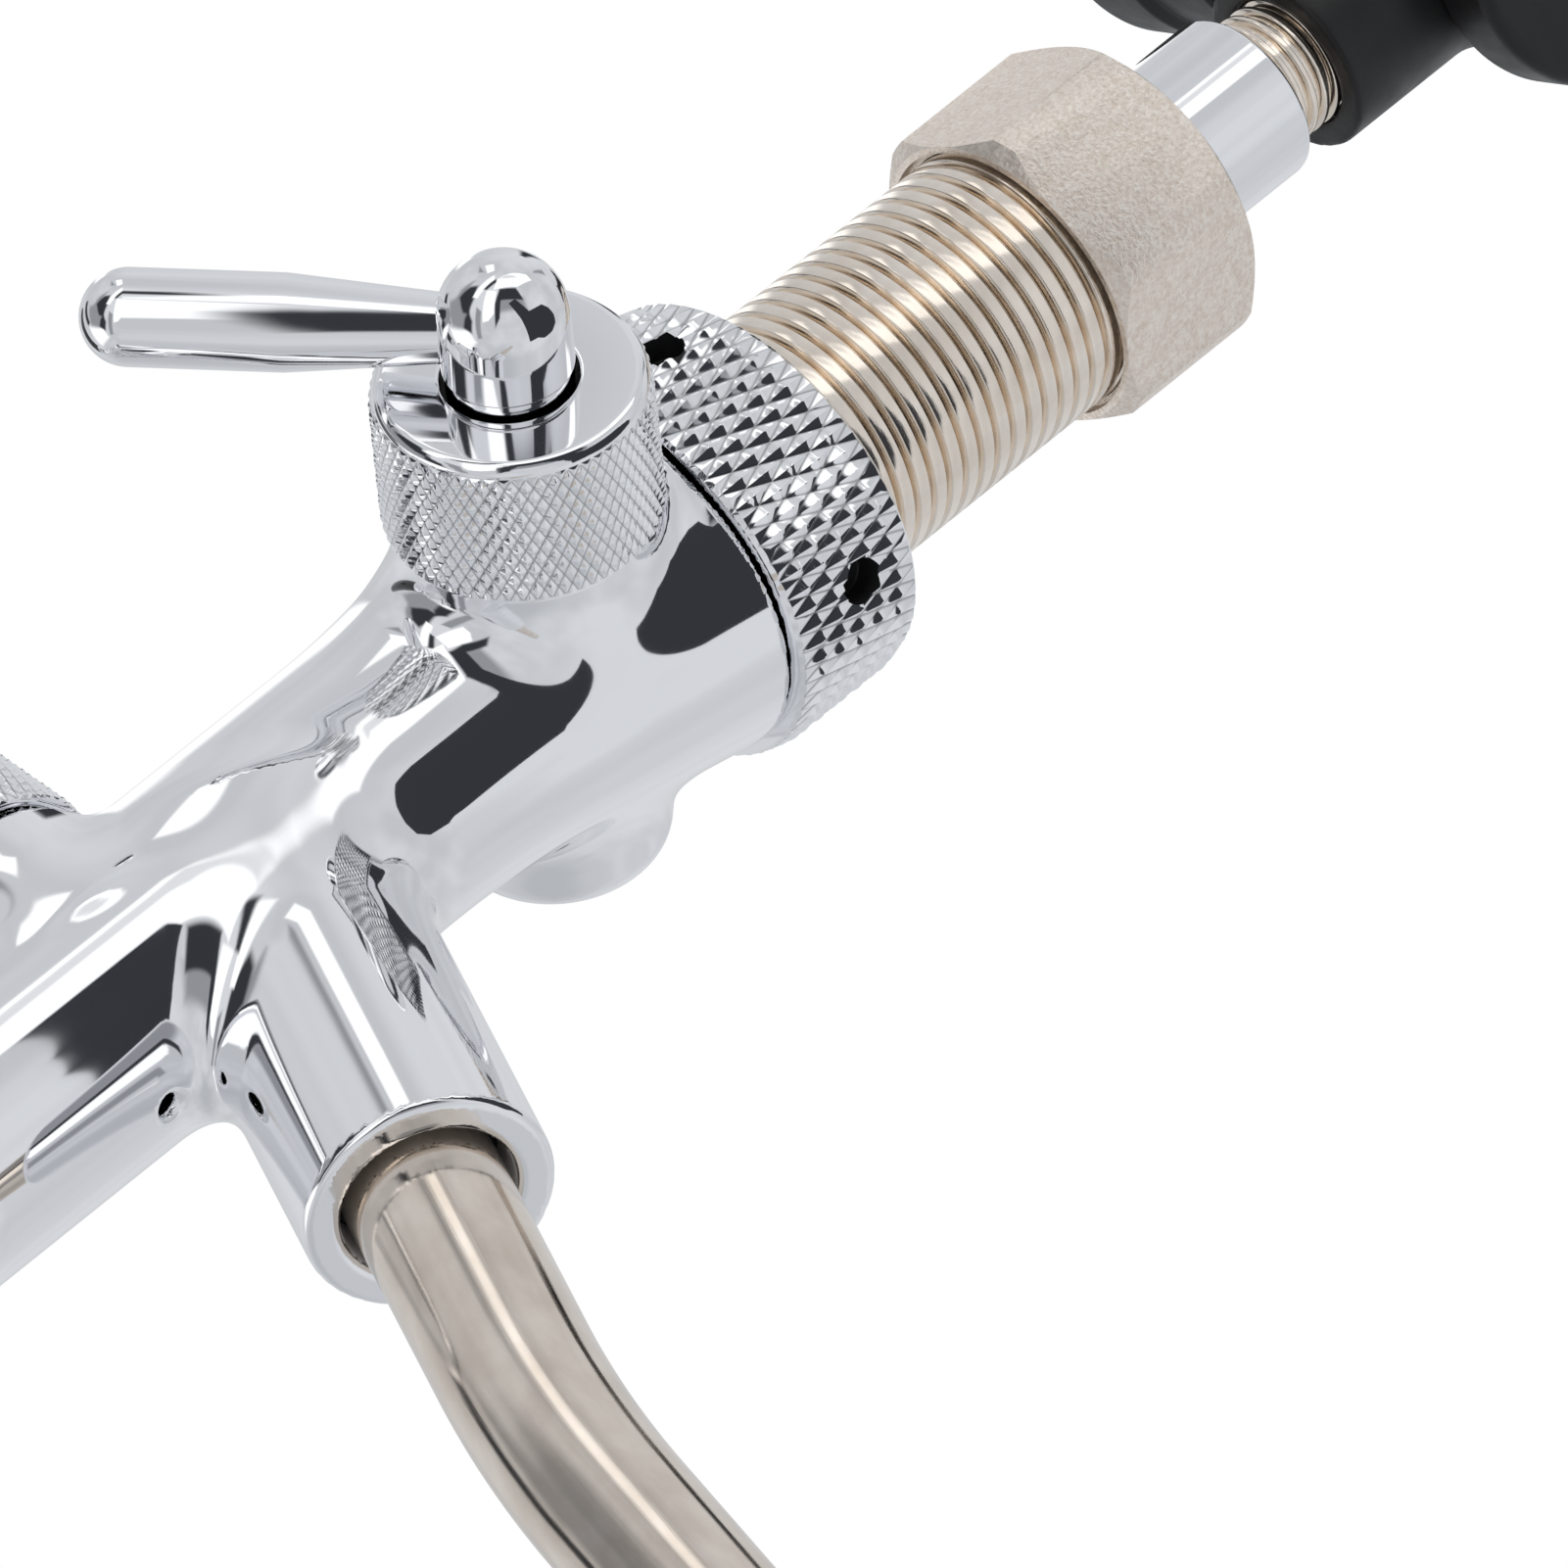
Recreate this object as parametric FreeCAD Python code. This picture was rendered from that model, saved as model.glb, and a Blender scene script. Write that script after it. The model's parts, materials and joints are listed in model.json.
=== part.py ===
import FreeCAD, Part
import math
import os

# Beer faucet with a flow-control lever, on a threaded shank, with a quick keg disconnect behind it.
# Frame: origin on the shank axis at the rear face of the coupling collar, where the tap meets the wall.
# +Y runs back along the shank, +Z is up towards the handle, +X is the side of the flow-control lever.
# All lengths are millimetres, all angles degrees.

# Clearances
RUNNING_FIT = 0.06
THREAD_GAP = 0.05
CURVED_GAP = 0.3

# Coupling collar with its spanner holes
COLLAR_RADIUS = 16.8
COLLAR_LENGTH = 12.8
COLLAR_REAR_WALL = 3.0
COLLAR_BEVEL = 0.9
COLLAR_RIM_GAP = 0.4
SPANNER_HOLE_COUNT = 4
SPANNER_HOLE_RADIUS = 1.9
SPANNER_HOLE_DEPTH = 2.4
SPANNER_HOLE_SETBACK = 5.4
SPANNER_HOLE_FIRST_ANGLE = 11.5

# Shank, its flange and its gasket
SHANK_RADIUS = 11.45
SHANK_BORE_RADIUS = 5.0
SHANK_COLLAR_GAP = 0.45
SHANK_FLANGE_RADIUS = 13.2
SHANK_FLANGE_THICKNESS = 2.5
SHANK_EXPOSED_LENGTH = 29.0
SHANK_IN_NUT_LENGTH = 7.5
SHANK_CHAMFER = 0.8
GASKET_THICKNESS = 1.5

# Cast body: bell, straight barrel and domed nose
SPIGOT_RADIUS = 13.6
RIM_RADIUS = 15.8
RIM_BAND = 0.8
RIM_BEVEL = 0.4
BARREL_RADIUS = 11.5
BELL_TAPER_ANGLE = 9.1
BELL_BLEND_LENGTH = 6.5
BARREL_END_FROM_RIM = 83.5
NOSE_DOME_LENGTH = 11.5
CHAMBER_RADIUS = 8.6
WATERWAY_RADIUS = 6.2
WATERWAY_END_FROM_RIM = 75.5
DRILL_POINT_LENGTH = 3.0
SEAT_FROM_RIM = 34.0
SEAT_CHAMFER = 0.5
VENT_HOLE_RADIUS = 0.9
VENT_HOLE_FROM_RIM = 65.8
BODY_SEAM_TURN = 52.0

# Flow control: cross shaft, gland cap and lever
FLOW_AXIS_FROM_RIM = 11.4
FLOW_BOSS_RADIUS = 10.2
FLOW_BOSS_REACH = 15.8
FLOW_NECK_RADIUS = 9.0
FLOW_NECK_RISE = 6.7
FLOW_LOWER_BOSS_RADIUS = 9.0
FLOW_LOWER_BOSS_REACH = 18.5
FLOW_LOWER_BOSS_EDGE = 3.0
FLOW_LOWER_FILLET = 3.0
FLOW_SHAFT_RADIUS = 5.0
FLOW_JOURNAL_RADIUS = 2.5
FLOW_JOURNAL_REACH = 14.5
FLOW_ECCENTRIC_OFFSET = 2.0
FLOW_ECCENTRIC_RADIUS = 2.9
FLOW_FLANGE_RADIUS = 7.6
FLOW_FLANGE_THICKNESS = 2.0
FLOW_WASHER_THICKNESS = 1.5
FLOW_CAP_RADIUS = 11.1
FLOW_CAP_BOSS_GAP = 0.2
FLOW_CAP_KNURL_LENGTH = 12.7
FLOW_CAP_CHAMFER_LENGTH = 1.1
FLOW_CAP_TOP_RADIUS = 10.0
FLOW_CAP_HOLE_GAP = 0.45
FLOW_LEVER_FORWARD_ANGLE = 34.8
FLOW_LEVER_SWING = 180.0
FLOW_HUB_RADIUS = 5.2
FLOW_HUB_CAP_GAP = 1.1
FLOW_HUB_BELOW_ROD = 3.5
FLOW_HUB_ABOVE_ROD = 4.2
FLOW_HUB_DOME = 2.6
FLOW_STUD_RADIUS = 2.5
FLOW_ROD_REACH = 33.0
FLOW_ROD_TIP_RADIUS = 3.85
FLOW_ROD_NECK_RADIUS = 2.75
FLOW_ROD_TAPER_END = 17.0
FLOW_ROD_TENON_RADIUS = 2.0

# Compensator: the yoke on the eccentric and the cone that throttles the flow
YOKE_HALF_THICKNESS = 3.0
YOKE_SLOT_GAP = 0.65
YOKE_END_GAP = 0.4
YOKE_BAR = 1.6
CONE_FRONT_RADIUS = 7.0
CONE_BAND = 1.5
CONE_LENGTH = 12.0
CONE_MIN_GAP = 0.5
CONE_NECK_RADIUS = 3.0
SHANK_FLARE_DEPTH = 11.0

# Spout
SPOUT_AXIS_FROM_RIM = 42.9
SPOUT_ANGLE = 61.9
SPOUT_BOSS_RADIUS = 10.2
SPOUT_BOSS_LENGTH = 39.5
SPOUT_FILLET = 5.0
SPOUT_MOUTH_RADIUS = 7.1
SPOUT_MOUTH_DEPTH = 5.5
SPOUT_PASSAGE_RADIUS = 5.0
TUBE_RADIUS = 6.4
TUBE_WALL = 0.8
TUBE_INSERTION = 17.0
TUBE_FIRST_RUN = 19.0
TUBE_BEND_RADIUS = 105.0
TUBE_BEND_ANGLE = 10.6
TUBE_LAST_RUN = 45.0

# Handle: ball, bonnet, lever and grip
HANDLE_AXIS_FROM_RIM = 59.9
HANDLE_BALL_HEIGHT = 18.0
BONNET_LEAN = 4.9
HANDLE_SWING = 20.0
BALL_RADIUS = 7.6
BALL_GAP = 0.25
NECK_ROOT_RADIUS = 11.3
NECK_RADIUS = 10.0
NECK_ROOT_DROP = 5.4
NECK_FILLET = 2.0
NECK_RISE = 3.5
NECK_BORE_RADIUS = 7.95
NECK_PASSAGE_RADIUS = 4.9
LOWER_SEAT_BOTTOM = 7.9
LOWER_SEAT_TOP = 4.2
UPPER_SEAT_BOTTOM = 3.6
UPPER_SEAT_TOP = 6.8
UPPER_SEAT_RADIUS = 9.3
UPPER_SEAT_HOLE = 5.8
BONNET_RADIUS = 12.0
BONNET_SKIRT_DROP = 5.0
BONNET_HEIGHT = 11.2
BONNET_BEVEL = 2.4
BONNET_HOLE_RADIUS = 6.6
FINGER_BALL_RADIUS = 2.5
FINGER_NECK_RADIUS = 1.5
LEVER_ROD_RADIUS = 4.0
FERRULE_START = 15.0
FERRULE_LENGTH = 10.0
FERRULE_BOTTOM_RADIUS = 5.2
FERRULE_TOP_RADIUS = 7.4
GRIP_LENGTH = 72.0
GRIP_WAIST_RADIUS = 6.6
GRIP_HEAD_RADIUS = 10.5
GRIP_STUD_LENGTH = 18.0

# Valve stem
STEM_RADIUS = 3.0
STEM_DISC_RADIUS = 4.6
STEM_DISC_THICKNESS = 1.6
STEM_STUD_RADIUS = 2.0
STEM_GUIDE_GAP = 0.08
STEM_GUIDE_HALF_LENGTH = 8.0
STEM_GUIDE_TOP = 2.8
STEM_GUIDE_BOTTOM = 4.4
FINGER_SLOT_GAP = 0.35
FINGER_SLOT_FLOOR = 2.9
WASHER_RADIUS = 7.5
WASHER_THICKNESS = 2.6
STEM_NUT_ACROSS_FLATS = 8.0
STEM_NUT_HEIGHT = 3.0

# Union nut and tail
NUT_ACROSS_FLATS = 25.0
NUT_CORNER_RADIUS = 13.8
NUT_LENGTH = 14.5
NUT_MOUTH_RADIUS = 11.95
NUT_MOUTH_DEPTH = 1.0
NUT_REAR_WALL = 2.5
TAIL_RADIUS = 7.15
TAIL_FLANGE_RADIUS = 10.9
TAIL_FLANGE_THICKNESS = 2.6
TAIL_WASHER_THICKNESS = 1.9
TAIL_EXPOSED_LENGTH = 12.6
TAIL_BORE_RADIUS = 3.5
TAIL_EDGE = 0.5

# Threaded insert between the tail and the disconnect
NIPPLE_RADIUS = 5.55
NIPPLE_BORE_RADIUS = 2.2
NIPPLE_IN_TAIL = 6.0
NIPPLE_EXPOSED = 4.7
NIPPLE_IN_PORT = 9.0

# Keg disconnect
PORT_RADIUS = 7.8
PORT_BORE_RADIUS = 2.4
PORT_LENGTH = 24.2
DISCONNECT_TILT = 23.6
DISCONNECT_RADIUS = 11.5
DISCONNECT_TOP = 8.0
DISCONNECT_SHOULDER = 19.5
DISCONNECT_MOUTH = 38.0
DISCONNECT_SKIRT_RADIUS = 10.4
SOCKET_RADIUS = 8.75
SOCKET_FLOOR = 15.0
BULKHEAD_THICKNESS = 3.0
POPPET_CHAMBER_RADIUS = 6.0
POPPET_HOLE_RADIUS = 2.8
DISCONNECT_CAP_RADIUS = 13.8
DISCONNECT_CAP_THICKNESS = 5.5
DISCONNECT_CAP_EDGE = 1.2
CAP_SPIGOT_LENGTH = 3.0
SLEEVE_LENGTH = 14.5
SLEEVE_TRAVEL = 4.0
SLEEVE_BACK_GAP = 0.5
SLEEVE_RADIUS = 13.0
SLEEVE_LIP_RADIUS = 13.8
SLEEVE_LIP_LENGTH = 7.5
SLEEVE_SPRING_RADIUS = 12.0
SLEEVE_GUIDE_LENGTH = 4.0
SLEEVE_RELIEF_RADIUS = 11.9
SLEEVE_GUIDE_GAP = 0.3
LOCK_BALL_COUNT = 6
LOCK_BALL_RADIUS = 1.6
LOCK_BALL_SETBACK = 4.6
LOCK_BALL_POCKET_GAP = 0.15
POPPET_ROD_RADIUS = 2.0
POPPET_HEAD_RADIUS = 4.2
POPPET_HEAD_THICKNESS = 3.0
POPPET_REACH = 5.0
POPPET_SEAL_THICKNESS = 1.2
POST_SEAL_THICKNESS = 2.0
POST_SEAL_HOLE = 5.5

# Springs
SLEEVE_SPRING_WIRE = 0.4
SLEEVE_SPRING_TURNS = 5
POPPET_SPRING_WIRE = 0.35
POPPET_SPRING_RADIUS = 3.2
POPPET_SPRING_TURNS = 6

# Places worked out from the sizes
RIM_Y = -(COLLAR_LENGTH + COLLAR_RIM_GAP)
SHANK_FLANGE_REAR = -COLLAR_REAR_WALL
SHANK_FLANGE_FRONT = SHANK_FLANGE_REAR - SHANK_FLANGE_THICKNESS
SPIGOT_END = SHANK_FLANGE_FRONT - GASKET_THICKNESS
FLOW_Y = RIM_Y - FLOW_AXIS_FROM_RIM
SEAT_Y = RIM_Y - SEAT_FROM_RIM
SPOUT_Y = RIM_Y - SPOUT_AXIS_FROM_RIM
HANDLE_Y = RIM_Y - HANDLE_AXIS_FROM_RIM
FLOW_NECK_REACH = FLOW_BOSS_REACH + FLOW_NECK_RISE
FLOW_CAP_START = FLOW_BOSS_REACH + FLOW_CAP_BOSS_GAP
FLOW_CAP_KNURL_END = FLOW_CAP_START + FLOW_CAP_KNURL_LENGTH
FLOW_CAP_TOP = FLOW_CAP_KNURL_END + FLOW_CAP_CHAMFER_LENGTH
FLOW_HUB_START = FLOW_CAP_TOP + FLOW_HUB_CAP_GAP
FLOW_ROD_HEIGHT = FLOW_HUB_START + FLOW_HUB_BELOW_ROD
FLOW_HUB_TOP = FLOW_ROD_HEIGHT + FLOW_HUB_ABOVE_ROD
FLOW_STUD_END = FLOW_ROD_HEIGHT - FLOW_ROD_TENON_RADIUS - CURVED_GAP
NUT_FRONT = SHANK_EXPOSED_LENGTH
SHANK_END = SHANK_EXPOSED_LENGTH + SHANK_IN_NUT_LENGTH
TAIL_FLANGE_FRONT = SHANK_END + TAIL_WASHER_THICKNESS
TAIL_FLANGE_REAR = TAIL_FLANGE_FRONT + TAIL_FLANGE_THICKNESS
NUT_REAR = NUT_FRONT + NUT_LENGTH
TAIL_END = NUT_REAR + TAIL_EXPOSED_LENGTH
PORT_FACE = TAIL_END + NIPPLE_EXPOSED
DISCONNECT_Y = PORT_FACE + PORT_LENGTH
SLEEVE_START = DISCONNECT_SHOULDER + SLEEVE_TRAVEL + SLEEVE_BACK_GAP
SLEEVE_END = SLEEVE_START + SLEEVE_LENGTH
SLEEVE_LIP_START = SLEEVE_END - SLEEVE_LIP_LENGTH
LOCK_BALL_STATION = DISCONNECT_MOUTH - LOCK_BALL_SETBACK
SLEEVE_GUIDE_START = LOCK_BALL_STATION - SLEEVE_GUIDE_LENGTH / 2
SLEEVE_GUIDE_END = LOCK_BALL_STATION + SLEEVE_GUIDE_LENGTH / 2

X_AXIS = FreeCAD.Vector(1, 0, 0)
Y_AXIS = FreeCAD.Vector(0, 1, 0)
Z_AXIS = FreeCAD.Vector(0, 0, 1)
ORIGIN = FreeCAD.Vector(0, 0, 0)


def in_side_plane(forward_angle):
    """Unit vector in the plane X = 0, turned forward from straight up."""
    angle = math.radians(forward_angle)
    return FreeCAD.Vector(0, -math.sin(angle), math.cos(angle))


SPOUT_DIRECTION = in_side_plane(90 + SPOUT_ANGLE)
FLOW_CENTRE = FreeCAD.Vector(0, FLOW_Y, 0)
SPOUT_CENTRE = FreeCAD.Vector(0, SPOUT_Y, 0)
HANDLE_CENTRE = FreeCAD.Vector(0, HANDLE_Y, HANDLE_BALL_HEIGHT)
BONNET_DIRECTION = in_side_plane(-BONNET_LEAN)
LEVER_REST_LEAN = BONNET_LEAN + HANDLE_SWING / 2
LEVER_DIRECTION = in_side_plane(-LEVER_REST_LEAN)
FINGER_LENGTH = HANDLE_BALL_HEIGHT / math.cos(math.radians(BONNET_LEAN))
FINGER_TIP = HANDLE_CENTRE - LEVER_DIRECTION * FINGER_LENGTH
TILT = math.radians(DISCONNECT_TILT)
DISCONNECT_CENTRE = FreeCAD.Vector(0, DISCONNECT_Y, 0)
DISCONNECT_DIRECTION = FreeCAD.Vector(-math.sin(TILT), 0, math.cos(TILT))


def placed(shape, point, direction):
    """Move a shape built along +Z so that it starts at a point and runs along a direction."""
    moved = shape.copy()
    moved.Placement = FreeCAD.Placement(point, FreeCAD.Rotation(Z_AXIS, direction))
    return moved


def turned(outline, point, direction):
    """Revolve an outline of (radius, station) points; a point with four numbers ends an arc."""
    corners = [FreeCAD.Vector(corner[-2], 0, corner[-1]) for corner in outline]
    edges = []
    for index, corner in enumerate(outline):
        start = corners[index - 1]
        end = corners[index]
        if start.distanceToPoint(end) < 1e-7:
            continue
        if len(corner) == 4:
            middle = FreeCAD.Vector(corner[0], 0, corner[1])
            edges.append(Part.Arc(start, middle, end).toShape())
        else:
            edges.append(Part.LineSegment(start, end).toShape())
    face = Part.Face(Part.Wire(edges))
    return placed(face.revolve(ORIGIN, Z_AXIS, 360), point, direction)


def rod(radius, start, end, point, direction):
    """Plain cylinder between two stations along a direction."""
    return Part.makeCylinder(radius, end - start, point + direction * start, direction)


def ring(outer, inner, start, end, point, direction):
    """Flat ring or tube between two stations."""
    outline = [(inner, start), (outer, start), (outer, end), (inner, end)]
    return turned(outline, point, direction)


def o_ring(inner_radius, outer_radius, station, point, direction):
    """O-ring that fills the space between two radii."""
    wire = (outer_radius - inner_radius) / 2
    torus = Part.makeTorus(inner_radius + wire, wire)
    return placed(torus, point + direction * station, direction)


def hexagon(across_flats, start, end, point, direction):
    """Hexagonal bar with its first corner on the local X axis."""
    corner = across_flats / math.sqrt(3)
    points = []
    for index in range(7):
        angle = math.radians(60 * index)
        points.append(FreeCAD.Vector(corner * math.cos(angle), corner * math.sin(angle), start))
    bar = Part.Face(Part.makePolygon(points)).extrude(FreeCAD.Vector(0, 0, end - start))
    return placed(bar, point, direction)


def coil(radius, wire, turns, start, end, point, direction):
    """Open helical spring between two stations, measured over the wire."""
    height = end - start - 2 * wire
    path = Part.makeHelix(height / turns, height, radius)
    section = Part.makeCircle(wire, FreeCAD.Vector(radius, 0, 0), Y_AXIS)
    spring = Part.Wire(path).makePipeShell([Part.Wire(section)], True, True)
    solid = Part.Solid(spring) if spring.ShapeType != "Solid" else spring
    return placed(solid, point + direction * (start + wire), direction)


def softened(shape, base, direction, boss_radius, boss_length, fillet):
    """Round the seam where a boss of this radius and length leaves the rest of the shape."""
    seam = []
    for edge in shape.Edges:
        if edge.Degenerated or edge.Curve.TypeId != "Part::GeomBSplineCurve":
            continue
        first, last = edge.ParameterRange
        spots = [edge.valueAt(first + share * (last - first)) - base for share in (0.1, 0.5, 0.9)]
        heights = [spot.dot(direction) for spot in spots]
        radii = [(spot - direction * height).Length for spot, height in zip(spots, heights)]
        on_side = all(abs(radius - boss_radius) < 0.01 for radius in radii)
        if on_side and min(heights) > 0 and max(heights) < boss_length:
            seam.append(edge)
    return shape.makeFillet(fillet, seam)


def body_outline():
    """Outer outline of the cast body, from the spigot's end to the tip of the nose."""
    slope = math.tan(math.radians(BELL_TAPER_ANGLE))
    cone_start = RIM_BAND + RIM_BEVEL
    cone_radius = RIM_RADIUS - RIM_BEVEL
    corner = cone_start + (cone_radius - BARREL_RADIUS) / slope
    half_turn = math.radians(BELL_TAPER_ANGLE) / 2
    blend_radius = BELL_BLEND_LENGTH / math.tan(half_turn)
    cosine = math.cos(math.radians(BELL_TAPER_ANGLE))
    sine = math.sin(math.radians(BELL_TAPER_ANGLE))
    blend_start = (BARREL_RADIUS + BELL_BLEND_LENGTH * sine, corner - BELL_BLEND_LENGTH * cosine)
    blend_end = corner + BELL_BLEND_LENGTH
    middle_station = blend_end - blend_radius * math.sin(half_turn)
    middle_radius = BARREL_RADIUS + blend_radius * (1 - math.cos(half_turn))
    quarter = math.sqrt(0.5)
    dome_middle = BARREL_END_FROM_RIM + NOSE_DOME_LENGTH * quarter
    spigot = RIM_Y - SPIGOT_END
    return [
        (0, spigot),
        (SPIGOT_RADIUS, spigot),
        (SPIGOT_RADIUS, 0),
        (RIM_RADIUS, 0),
        (RIM_RADIUS, RIM_BAND),
        (cone_radius, cone_start),
        blend_start,
        (middle_radius, middle_station, BARREL_RADIUS, blend_end),
        (BARREL_RADIUS, BARREL_END_FROM_RIM),
        (BARREL_RADIUS * quarter, dome_middle, 0, BARREL_END_FROM_RIM + NOSE_DOME_LENGTH),
    ]


def body_casting():
    """Solid outer form of the body with its bosses and neck."""
    rim_centre = FreeCAD.Vector(0, RIM_Y, 0)
    casting = turned(body_outline(), rim_centre, -Y_AXIS)
    casting.rotate(rim_centre, Y_AXIS, BODY_SEAM_TURN)
    edge = FLOW_LOWER_BOSS_EDGE
    bend = edge * (1 - math.sqrt(0.5))
    lower_boss = turned([
        (0, 0),
        (FLOW_LOWER_BOSS_RADIUS, 0),
        (FLOW_LOWER_BOSS_RADIUS, FLOW_LOWER_BOSS_REACH - edge),
        (FLOW_LOWER_BOSS_RADIUS - bend, FLOW_LOWER_BOSS_REACH - bend,
         FLOW_LOWER_BOSS_RADIUS - edge, FLOW_LOWER_BOSS_REACH),
        (0, FLOW_LOWER_BOSS_REACH),
    ], FLOW_CENTRE, -X_AXIS)
    upper_boss = rod(FLOW_BOSS_RADIUS, 0, FLOW_BOSS_REACH, FLOW_CENTRE, X_AXIS)
    upper_neck = rod(FLOW_NECK_RADIUS, 0, FLOW_NECK_REACH, FLOW_CENTRE, X_AXIS)
    spout_boss = rod(SPOUT_BOSS_RADIUS, 0, SPOUT_BOSS_LENGTH, SPOUT_CENTRE, SPOUT_DIRECTION)
    neck_base = HANDLE_CENTRE - BONNET_DIRECTION * FINGER_LENGTH
    root_length = FINGER_LENGTH - NECK_ROOT_DROP
    root = rod(NECK_ROOT_RADIUS, 0, root_length, neck_base, BONNET_DIRECTION)
    neck = rod(NECK_RADIUS, 0, FINGER_LENGTH + NECK_RISE, neck_base, BONNET_DIRECTION)
    casting = casting.fuse([lower_boss, upper_boss, upper_neck, spout_boss, root, neck])
    casting = casting.removeSplitter()
    casting = softened(casting, neck_base, BONNET_DIRECTION, NECK_ROOT_RADIUS, root_length, NECK_FILLET)
    casting = softened(casting, SPOUT_CENTRE, SPOUT_DIRECTION, SPOUT_BOSS_RADIUS, SPOUT_BOSS_LENGTH,
                       SPOUT_FILLET)
    return softened(casting, FLOW_CENTRE, -X_AXIS, FLOW_LOWER_BOSS_RADIUS, FLOW_LOWER_BOSS_REACH,
                    FLOW_LOWER_FILLET)


def body_bores():
    """Everything drilled and turned out of the body."""
    rim_centre = FreeCAD.Vector(0, RIM_Y, 0)
    spigot = RIM_Y - SPIGOT_END
    waterway = turned([
        (0, spigot - 1),
        (CHAMBER_RADIUS, spigot - 1),
        (CHAMBER_RADIUS, SEAT_FROM_RIM),
        (WATERWAY_RADIUS + SEAT_CHAMFER, SEAT_FROM_RIM),
        (WATERWAY_RADIUS, SEAT_FROM_RIM + SEAT_CHAMFER),
        (WATERWAY_RADIUS, WATERWAY_END_FROM_RIM),
        (0, WATERWAY_END_FROM_RIM + DRILL_POINT_LENGTH),
    ], rim_centre, -Y_AXIS)
    flange_seat = FLOW_NECK_REACH - FLOW_WASHER_THICKNESS - FLOW_FLANGE_THICKNESS
    shaft_bore = turned([
        (0, 0),
        (FLOW_SHAFT_RADIUS + RUNNING_FIT, 0),
        (FLOW_SHAFT_RADIUS + RUNNING_FIT, flange_seat),
        (FLOW_FLANGE_RADIUS + CURVED_GAP, flange_seat),
        (FLOW_FLANGE_RADIUS + CURVED_GAP, FLOW_NECK_REACH + 1),
        (0, FLOW_NECK_REACH + 1),
    ], FLOW_CENTRE, X_AXIS)
    journal_bore = rod(FLOW_JOURNAL_RADIUS + RUNNING_FIT, 0, FLOW_JOURNAL_REACH + CURVED_GAP,
                       FLOW_CENTRE, -X_AXIS)
    socket_floor = SPOUT_BOSS_LENGTH - TUBE_INSERTION
    spout_bore = turned([
        (0, 0),
        (SPOUT_PASSAGE_RADIUS, 0),
        (SPOUT_PASSAGE_RADIUS, socket_floor),
        (TUBE_RADIUS + THREAD_GAP, socket_floor),
        (TUBE_RADIUS + THREAD_GAP, SPOUT_BOSS_LENGTH - SPOUT_MOUTH_DEPTH),
        (SPOUT_MOUTH_RADIUS, SPOUT_BOSS_LENGTH - SPOUT_MOUTH_DEPTH),
        (SPOUT_MOUTH_RADIUS, SPOUT_BOSS_LENGTH + 1),
        (0, SPOUT_BOSS_LENGTH + 1),
    ], SPOUT_CENTRE, SPOUT_DIRECTION)
    neck_bore = turned([
        (0, -HANDLE_BALL_HEIGHT),
        (NECK_PASSAGE_RADIUS, -HANDLE_BALL_HEIGHT),
        (NECK_PASSAGE_RADIUS, -LOWER_SEAT_BOTTOM),
        (NECK_BORE_RADIUS, -LOWER_SEAT_BOTTOM),
        (NECK_BORE_RADIUS, NECK_RISE + 1),
        (0, NECK_RISE + 1),
    ], HANDLE_CENTRE, BONNET_DIRECTION)
    vent_start = FreeCAD.Vector(0, RIM_Y - VENT_HOLE_FROM_RIM, 0)
    vent = rod(VENT_HOLE_RADIUS, 0, BARREL_RADIUS + 1, vent_start, -Z_AXIS)
    return [waterway, shaft_bore, journal_bore, spout_bore, neck_bore, vent]


def make_body():
    """Cast body with every bore."""
    casting = body_casting()
    return {"faucet_body": casting.cut(body_bores())}


def make_coupling():
    """Collar, shank and gasket that join the body to the wall."""
    bore = SPIGOT_RADIUS + THREAD_GAP
    collar = turned([
        (bore, -COLLAR_LENGTH),
        (COLLAR_RADIUS - COLLAR_BEVEL, -COLLAR_LENGTH),
        (COLLAR_RADIUS, -COLLAR_LENGTH + COLLAR_BEVEL),
        (COLLAR_RADIUS, -COLLAR_BEVEL),
        (COLLAR_RADIUS - COLLAR_BEVEL, 0),
        (SHANK_RADIUS + SHANK_COLLAR_GAP, 0),
        (SHANK_RADIUS + SHANK_COLLAR_GAP, -COLLAR_REAR_WALL),
        (bore, -COLLAR_REAR_WALL),
    ], ORIGIN, Y_AXIS)
    holes = []
    for index in range(SPANNER_HOLE_COUNT):
        angle = math.radians(SPANNER_HOLE_FIRST_ANGLE + 360 * index / SPANNER_HOLE_COUNT)
        outward = FreeCAD.Vector(math.cos(angle), 0, math.sin(angle))
        start = FreeCAD.Vector(0, -SPANNER_HOLE_SETBACK, 0)
        floor = COLLAR_RADIUS - SPANNER_HOLE_DEPTH
        holes.append(rod(SPANNER_HOLE_RADIUS, floor, COLLAR_RADIUS + 1, start, outward))
    collar = collar.cut(holes)
    flare = CONE_FRONT_RADIUS + CONE_MIN_GAP
    shank = turned([
        (flare, SHANK_FLANGE_FRONT),
        (SHANK_FLANGE_RADIUS, SHANK_FLANGE_FRONT),
        (SHANK_FLANGE_RADIUS, SHANK_FLANGE_REAR),
        (SHANK_RADIUS, SHANK_FLANGE_REAR),
        (SHANK_RADIUS, SHANK_END - SHANK_CHAMFER),
        (SHANK_RADIUS - SHANK_CHAMFER, SHANK_END),
        (SHANK_BORE_RADIUS, SHANK_END),
        (SHANK_BORE_RADIUS, SHANK_FLANGE_FRONT + SHANK_FLARE_DEPTH),
    ], ORIGIN, Y_AXIS)
    gasket = ring(SHANK_FLANGE_RADIUS, CHAMBER_RADIUS, SPIGOT_END, SHANK_FLANGE_FRONT, ORIGIN, Y_AXIS)
    return {"coupling_collar": collar, "shank": shank, "shank_gasket": gasket}


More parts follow.
